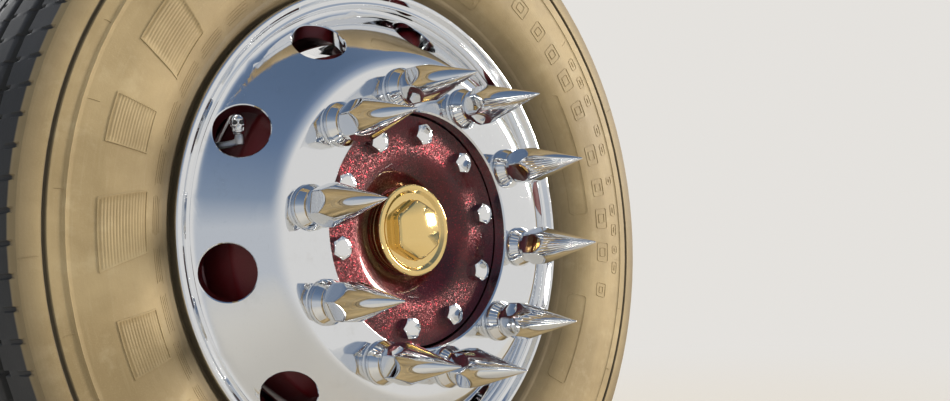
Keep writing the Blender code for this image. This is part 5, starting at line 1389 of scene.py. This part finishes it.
def makeKnuckle():
    form = bmesh.new()
    clear = knuckle["seatClear"]
    spindle = [
        (0, 0.112, 0), (0.029, 0.112, 0.002), (0.029, 0.092, 0), (0.0325 - clear, 0.092, 0.001),
        (0.0325 - clear, 0.066, 0), (0.045 - clear, 0.022, 0), (0.045 - clear, -0.014, 0.004),
        (0.056, -0.018, 0.002), (0.056, knuckle["flangeOut"], 0.006),
        (knuckle["flange"], knuckle["flangeOut"], 0.002),
        (knuckle["flange"], knuckle["flangeIn"], 0.004), (0, knuckle["flangeIn"], 0),
    ]
    spun(form, roundedLine(spindle, closed=False), wheelPlace, 128)
    side = [(-0.047, 0.0725, 0.014), (-0.005, 0.0725, 0), (-0.005, 0.1232, 0), (-0.045, 0.1232, 0.018),
            (-0.074, 0.077, 0)]
    outline = roundedLine(side + [(across, -height, rounding) for across, height, rounding in reversed(side)])
    prism(form, outline, -knuckle["halfDepth"] + 0.001, knuckle["halfDepth"] - 0.001, yokePlace)
    for low, high in ((knuckle["gap"], knuckle["earTop"]), (-knuckle["earTop"], -knuckle["gap"])):
        disc(form, knuckle["ear"], low, high, pinPlace, 0, 128)
    for sideways in (-1, 1):
        boss = lay(pinPlace @ Vector((sideways * 0.036, -0.012, 0.086)), (sideways, 0, 0))
        disc(form, 0.0105, 0, 0.014, boss, 0.001, 48)
    cuts = bmesh.new()
    disc(cuts, knuckle["bore"], 0.05, 0.15, pinPlace)
    disc(cuts, knuckle["bore"], -0.15, -0.05, pinPlace)
    forge("knuckle_forging", form, cuts, knuckle["voxel"], 5, still, "black", "knuckle_body", "knuckle")


def makeKingpinCaps():
    bolts = bmesh.new()
    rows = [
        (0, 0.0145, 0), (0.0215, 0.0145, 0.004), (0.027, 0.01, 0.0015), (0.04, 0.01, 0.0018),
        (0.04, 0, 0.0006), (0, 0, 0),
    ]
    line = roundedLine(rows, closed=False)
    for name, height, flip in (("kingpin_cap_upper", 0.1253, 0), ("kingpin_cap_lower", -0.1253, math.pi)):
        spot = pinPlace @ move(0, 0, height) @ Matrix.Rotation(flip, 4, "X")
        form = bmesh.new()
        spun(form, line, spot, 128)
        makePiece(name + "_fine", form, still, "black", "knuckle_body", name)
        for angle in evenAngles(4, math.radians(45)):
            fastener(bolts, 0.0042, 0.0036, spot @ Matrix.Translation(onCircle(0.0332, angle, 0.0098)))
        greaseNipple(bolts, spot @ move(0, 0, 0.0142))
    makePiece("kingpin_cap_bolts", bolts, still, "zinc", "knuckle_body")


arms = (  # node, eye, root place, height
    ("steering_arm", (-0.175, 0.05), -0.032, 0.098),
    ("tie_rod_arm", (0.19, 0.034), -0.02, -0.098),
)
arm = {"half": 0.015, "web": 0.0105, "eye": 0.029, "bore": 0.0125, "root": 0.028, "neck": 0.019,
       "share": 0.55,
       "ridge": 0.0062, "sink": 0.0068, "face": 0.0463, "block": 0.02, "voxel": 0.0019}


def makeArms():
    for name, eye, rootPlace, height in arms:
        side = math.copysign(1, eye[0])
        root = Vector((side * arm["face"], rootPlace))
        along = (Vector(eye) - root).normalized()
        across = Vector((-along.y, along.x))
        neck = root.lerp(Vector(eye), arm["share"])
        heading = math.atan2(along.y, along.x)
        tip = arcLine(eye, arm["eye"], heading - math.radians(125), heading + math.radians(125), 0.08)
        left = [neck + across * arm["neck"], root + Vector((0, side * arm["root"]))]
        right = [root - Vector((0, side * arm["root"])), neck - across * arm["neck"]]
        outline = [tuple(point) for point in left + right] + tip
        spot = pinPlace @ move(0, 0, height)
        form = bmesh.new()
        prism(form, outline, -arm["web"], arm["web"], spot)
        disc(form, arm["eye"], -arm["half"], arm["half"], spot @ move(*eye, 0), 0.002, 96)
        block = root + Vector((side * arm["block"], 0))
        low = Vector((min(root.x, block.x), rootPlace - arm["root"], -arm["half"]))
        high = Vector((max(root.x, block.x), rootPlace + arm["root"], arm["half"]))
        box(form, low, high, spot)
        for edge in (-1, 1):
            ridge = [root + across * edge * 0.017, neck + across * edge * 0.0155,
                     Vector(eye) + across * edge * 0.02]
            for start, end in zip(ridge, ridge[1:]):
                run = Vector((end.x - start.x, end.y - start.y, 0))
                for level in (arm["half"] - arm["sink"], arm["sink"] - arm["half"]):
                    disc(form, arm["ridge"], 0, run.length, spot @ lay((start.x, start.y, level), run), 0, 32)
        cuts = bmesh.new()
        disc(cuts, arm["bore"], -0.03, 0.03, spot @ move(*eye, 0))
        forge(name + "_forging", form, cuts, arm["voxel"], 6, still, "black", "knuckle_body", name)


def makeFlangeBolts():  # through the knuckle's flange into the spider
    form = bmesh.new()
    for angle in (0, 40, -40, 180, 140, 220):
        spot = onCircle(knuckle["boltCircle"], math.radians(angle), knuckle["flangeIn"])
        fastener(form, 0.009, 0.0085, wheelPlace @ lay(spot, (0, 0, -1)))
    for sideways in (-1, 1):
        face = pinPlace @ Vector((sideways * 0.05, -0.012, 0.086))
        fastener(form, 0.0065, 0.007, lay(face, (sideways, 0, 0)))
        for height in (0.098, -0.098):
            nipple = pinPlace @ Vector((sideways * 0.015, 0.0422, height))
            greaseNipple(form, lay(nipple, (sideways * 0.35, 1, 0)))
    makePiece("knuckle_bolts", form, still, "zinc", "knuckle_body")


spider = {"low": -0.0374, "high": -0.024, "hub": 0.1175, "camEnd": 0.0475, "camBoss": 0.033, "bore": 0.0575,
          "camBore": 0.0197, "voxel": 0.003}


def makeSpider():
    form = bmesh.new()
    low, high = spider["low"], spider["high"]
    camEye = move(axes["camDistance"], 0, 0)
    prism(form, barOutline((0, 0), spider["hub"], (axes["camDistance"], 0), spider["camEnd"]), low, high)
    disc(form, spider["camBoss"], low, high, camEye)
    cuts = bmesh.new()
    disc(cuts, spider["bore"], -0.06, 0)
    disc(cuts, spider["camBore"], -0.06, 0, camEye, 0, 64)
    forge("brake_spider_forging", form, cuts, spider["voxel"], 3, brakePlace, "black", "knuckle_body",
          "brake_spider")


cam = {"tube": 0.027, "flange": 0.042, "bore": 0.0195, "end": -0.218, "shaft": 0.019, "shaftEnd": -0.266,
       "plane": -0.242, "arm": 0.14, "splines": 28}


def makeCamTube():
    form = bmesh.new()
    rows = [
        (cam["bore"], -0.038, 0.0005), (cam["flange"], -0.038, 0.001), (cam["flange"], -0.046, 0.001),
        (cam["tube"], -0.046, 0.005), (cam["tube"], -0.204, 0), (cam["tube"] - 0.0012, -0.206, 0.001),
        (cam["tube"] - 0.0012, cam["end"], 0.0012), (cam["bore"], cam["end"], 0.0006),
    ]
    spun(form, roundedLine(rows), still, 96, True)
    makePiece("cam_tube_fine", form, camPlace, "black", "knuckle_body", "cam_tube")
    bolts = bmesh.new()
    for angle in evenAngles(4, math.radians(45)):
        fastener(bolts, 0.0046, 0.0044, lay(onCircle(0.0348, angle, -0.046), (0, 0, -1)))
    greaseNipple(bolts, lay((0, -cam["tube"] + 0.0004, -0.15), (0, -1, 0)))
    makePiece("cam_tube_bolts", bolts, camPlace, "zinc", "knuckle_body")
    form = bmesh.new()
    count = cam["splines"] * 4
    angles = evenAngles(count)
    rows = [[onCircle(0, 0, -0.024)] * count, [onCircle(cam["shaft"], angle, -0.024) for angle in angles],
            [onCircle(cam["shaft"], angle, -0.22) for angle in angles]]
    for height in (-0.2201, -0.2648):
        rows.append([onCircle(cam["shaft"] - (0.0014 if step % 4 > 1 else 0), angle, height)
                     for step, angle in enumerate(angles)])
    rows.append([onCircle(cam["shaft"] - 0.002, angle, cam["shaftEnd"]) for angle in angles])
    rows.append([onCircle(0, 0, cam["shaftEnd"])] * count)
    shell(form, rows)
    spun(form, [(0.0192, -0.2554), (0.0265, -0.2554), (0.0265, -0.2576), (0.0192, -0.2576)], still, 72, True)
    spun(form, [(0.018, -0.2586), (0.0216, -0.2586), (0.0216, -0.26), (0.018, -0.26)], still, 72, True)
    makePiece("camshaft_fine", form, camPlace, "zinc", "knuckle_body", "camshaft")


slack = {"boss": 0.0338, "half": 0.0128, "bar": 0.0215, "barEnd": 0.0135, "barFrom": 0.03, "web": 0.008,
         "eye": 0.0165, "wormAt": 0.034, "worm": 0.0113,
         "wormHalf": 0.0385, "swell": 0.0128, "swellHalf": 0.023,
         "bore": 0.0194, "pinBore": 0.007, "voxel": 0.0018}


def makeSlackAdjuster():
    plane = move(0, 0, cam["plane"])
    eye = plane @ move(0, cam["arm"], 0)
    worm = plane @ lay((0, slack["wormAt"], 0), (1, 0, 0))
    form = bmesh.new()
    disc(form, slack["boss"], -slack["half"], slack["half"], plane, 0.002)
    bar = barOutline((0, slack["barFrom"]), slack["bar"], (0, cam["arm"]), slack["barEnd"])
    prism(form, bar, -slack["web"], slack["web"], plane)
    disc(form, slack["eye"], -slack["half"], slack["half"], eye, 0.0015, 72)
    disc(form, slack["worm"], -slack["wormHalf"], slack["wormHalf"], worm, 0.0015, 64)
    disc(form, slack["swell"], -slack["swellHalf"], slack["swellHalf"], worm, 0.003, 64)
    cuts = bmesh.new()
    disc(cuts, slack["bore"], -0.03, 0.03, plane, 0, 72)
    disc(cuts, slack["pinBore"], -0.03, 0.03, eye, 0, 48)
    forge("slack_adjuster_casting", form, cuts, slack["voxel"], 4, camPlace, "black", "knuckle_body",
          "slack_adjuster")
    trim = bmesh.new()
    for face in (-1, 1):
        for angle in evenAngles(6, math.radians(15)):
            spot = lay(onCircle(0.0275, angle, cam["plane"] + face * 0.0124), (0, 0, face))
            disc(trim, 0.0026, 0, 0.0014, spot, 0.0008, 24)
    hexHead(trim, 0.0062, 0.007, plane @ lay((0.0383, slack["wormAt"], 0), (1, 0, 0)))
    disc(trim, 0.0082, 0, 0.0018, plane @ lay((-0.0383, slack["wormAt"], 0), (-1, 0, 0)), 0.0008, 40)
    greaseNipple(trim, plane @ lay((-0.0292, -0.0165, 0), (-1, -0.56, 0)))
    makePiece("slack_adjuster_trim", trim, camPlace, "zinc", "knuckle_body")


pushrod = {"ear": 0.0147, "yoke": 0.0146, "earIn": 0.0136,
           "earOut": 0.0203, "yokeFrom": 0.0305, "yokeTo": 0.0458,
           "earTo": 0.034, "collar": 0.0125,
           "rod": 0.0078, "rodEnd": 0.1243, "pinBore": 0.0069, "pin": 0.0064,
           "pinHalf": 0.0243, "threads": 9, "threadPitch": 0.0018, "voxel": 0.0014}


def makePushrod():
    spot = move(0, cam["arm"], cam["plane"])
    along = spot @ lay((0, 0, 0), (1, 0, 0))
    yoke, earIn, earOut = pushrod["yoke"], pushrod["earIn"], pushrod["earOut"]
    form = bmesh.new()
    ear = barOutline((0, 0), pushrod["ear"], (pushrod["earTo"], 0), yoke)
    for low, high in ((earIn, earOut), (-earOut, -earIn)):
        prism(form, ear, low, high, spot)
    box(form, (pushrod["yokeFrom"], -yoke, -earOut), (pushrod["yokeTo"], yoke, earOut), spot)
    disc(form, pushrod["collar"], 0.04, 0.05, along, 0.002, 64)
    disc(form, pushrod["rod"], 0.044, pushrod["rodEnd"], along, 0, 64)
    cuts = bmesh.new()
    disc(cuts, pushrod["pinBore"], -0.03, 0.03, spot, 0, 48)
    forge("pushrod_clevis", form, cuts, pushrod["voxel"], 3, camPlace, "zinc", "knuckle_body", "pushrod")
    trim = bmesh.new()
    hexHead(trim, 0.0118, 0.008, spot @ lay((0.05, 0, 0), (1, 0, 0)))
    for index in range(pushrod["threads"]):
        ring = spot @ lay((0.06 + index * pushrod["threadPitch"], 0, 0), (1, 0, 0))
        spun(trim, [(0.0076, 0), (0.0084, 0.0006), (0.0076, 0.0012)], ring, 40, True)
    makePiece("pushrod_nut", trim, camPlace, "zinc", "knuckle_body")
    pin = bmesh.new()
    disc(pin, pushrod["pin"], -pushrod["pinHalf"], pushrod["pinHalf"], spot, 0.0008, 48)
    disc(pin, 0.0105, 0.0206, 0.0232, spot, 0.0008, 48)
    disc(pin, 0.01, -0.0222, -0.0206, spot, 0.0004, 48)
    disc(pin, 0.0012, -0.0105, 0.0105, spot @ lay((0, 0, -0.0232), (0.6, 0.8, 0)), 0.0003, 20)
    makePiece("clevis_pin_fine", pin, camPlace, "zinc", "knuckle_body", "clevis_pin")


chamber = {"distance": 0.105, "radius": 0.069, "clamp": 0.075, "low": 0.05, "high": 0.068, "length": 0.118,
           "base": 0.058, "mouth": 0.013, "depth": 0.02}


def makeChamber():
    spot = move(chamber["distance"], cam["arm"], cam["plane"]) @ Matrix.Rotation(math.pi / 2, 4, "Y")
    radius = chamber["radius"]
    rows = [
        (0, chamber["length"], 0), (0.03, chamber["length"], 0), (0.0325, chamber["length"] - 0.001, 0.001),
        (0.04, chamber["length"] - 0.001, 0.002), (radius - 0.001, chamber["length"] - 0.0015, 0.022),
        (radius - 0.001, chamber["high"] + 0.006, 0.003), (radius + 0.003, chamber["high"] + 0.001, 0.001),
        (radius + 0.003, chamber["low"] - 0.001, 0.001), (radius - 0.001, chamber["low"] - 0.006, 0.004),
        (radius - 0.003, 0.036, 0.004), (radius - 0.0045, 0.026, 0.006), (chamber["base"], 0.0006, 0.011),
        (0.04, 0.0006, 0.002), (0.038, 0, 0.001), (chamber["mouth"], 0, 0.0008),
        (chamber["mouth"], chamber["depth"], 0.002), (0, chamber["depth"], 0),
    ]
    form = bmesh.new()
    spun(form, roundedLine(rows, closed=False), spot, 144)
    makePiece("brake_chamber_fine", form, camPlace, "black", "knuckle_body", "brake_chamber")
    band = bmesh.new()
    clamp = chamber["clamp"] - 0.0004
    rows = [(radius + 0.0032, chamber["low"], 0.0006), (clamp - 0.001, chamber["low"] + 0.0004, 0.0012),
            (clamp, chamber["low"] + 0.005, 0.002), (clamp, chamber["high"] - 0.005, 0.002),
            (clamp - 0.001, chamber["high"] - 0.0004, 0.0012), (radius + 0.0032, chamber["high"], 0.0006)]
    spun(band, roundedLine(rows), spot, 144, True)
    middle = (chamber["low"] + chamber["high"]) / 2
    for side in (-1, 1):
        for edge in (-1, 1):
            near, far = sorted((side * 0.07, side * 0.09))
            box(band, (edge * 0.005 - 0.0022, near, middle - 0.008),
                (edge * 0.005 + 0.0022, far, middle + 0.008),
                spot)
        bar = spot @ lay((-0.014, side * 0.0835, middle), (1, 0, 0))
        disc(band, 0.003, 0, 0.028, bar, 0.0006, 32)
        hexHead(band, 0.0056, 0.0052, spot @ lay((0.0073, side * 0.0835, middle), (1, 0, 0)))
        hexHead(band, 0.0056, 0.0052, spot @ lay((-0.0073, side * 0.0835, middle), (-1, 0, 0)))
    makePiece("chamber_clamp_band", band, camPlace, "zinc", "knuckle_body")


bracket = {"low": -0.2138, "high": -0.2032, "tubeEnd": 0.0425, "armEnd": 0.0385, "armReach": 0.0602,
           "plateIn": 0.094, "plateOut": 0.1045, "plateHalf": 0.0495, "plateDrop": 0.0855, "ribDrop": 0.03,
           "collar": 0.038, "collarDrop": 0.024, "bore": 0.0273, "rodBore": 0.013, "voxel": 0.0026}


def makeBracket():
    form = bmesh.new()
    middle = cam["arm"]
    low, high, half = bracket["low"], bracket["high"], bracket["plateHalf"]
    prism(form, barOutline((0, 0), bracket["tubeEnd"], (bracket["armReach"], middle), bracket["armEnd"]),
          low, high)
    box(form, (bracket["plateIn"], middle - half, high - bracket["plateDrop"]),
        (bracket["plateOut"], middle + half, high))
    for side in (-1, 1):
        rib = [(x, middle + side * y)
               for x, y in ((0.056, 0.03), (0.099, 0.046), (0.099, 0.036), (0.056, 0.022))]
        prism(form, rib if side < 0 else rib[::-1], high - bracket["ribDrop"], high)
    disc(form, bracket["collar"], high - bracket["collarDrop"], high)
    cuts = bmesh.new()
    disc(cuts, bracket["bore"], -0.26, -0.16)
    rodPlace = move(0, middle, cam["plane"]) @ lay((0, 0, 0), (1, 0, 0))
    disc(cuts, bracket["rodBore"], 0.08, 0.12, rodPlace, 0, 64)
    forge("chamber_bracket_plate", form, cuts, bracket["voxel"], 3, camPlace, "black", "knuckle_body",
          "chamber_bracket")
    nuts = bmesh.new()
    for side in (-1, 1):
        fastener(nuts, 0.009, 0.0085, lay((0.0942, cam["arm"] + side * 0.036, cam["plane"]), (-1, 0, 0)))
    makePiece("chamber_nuts", nuts, camPlace, "zinc", "knuckle_body")


print("wheel side")
makeTyre()
makeMarks()
makeDiscWheel()
makeCovers()
makePlate()
makeBolts()
makeCap()
makeStem()
makeSkull()
print("knuckle and brake")
makeDrum()
makeShield()
makeKnuckle()
makeKingpinCaps()
makeArms()
makeFlangeBolts()
makeSpider()
makeCamTube()
makeSlackAdjuster()
makePushrod()
makeChamber()
makeBracket()

# the hub is the one CAD node that stays, closed in between the plate and the drum

kept = {"hub": "drum"}
for name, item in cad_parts.items():
    if not item.hide_render:
        item.data.materials.clear()
        item.data.materials.append(finishes[kept.get(name, "black")][0])

print("done")
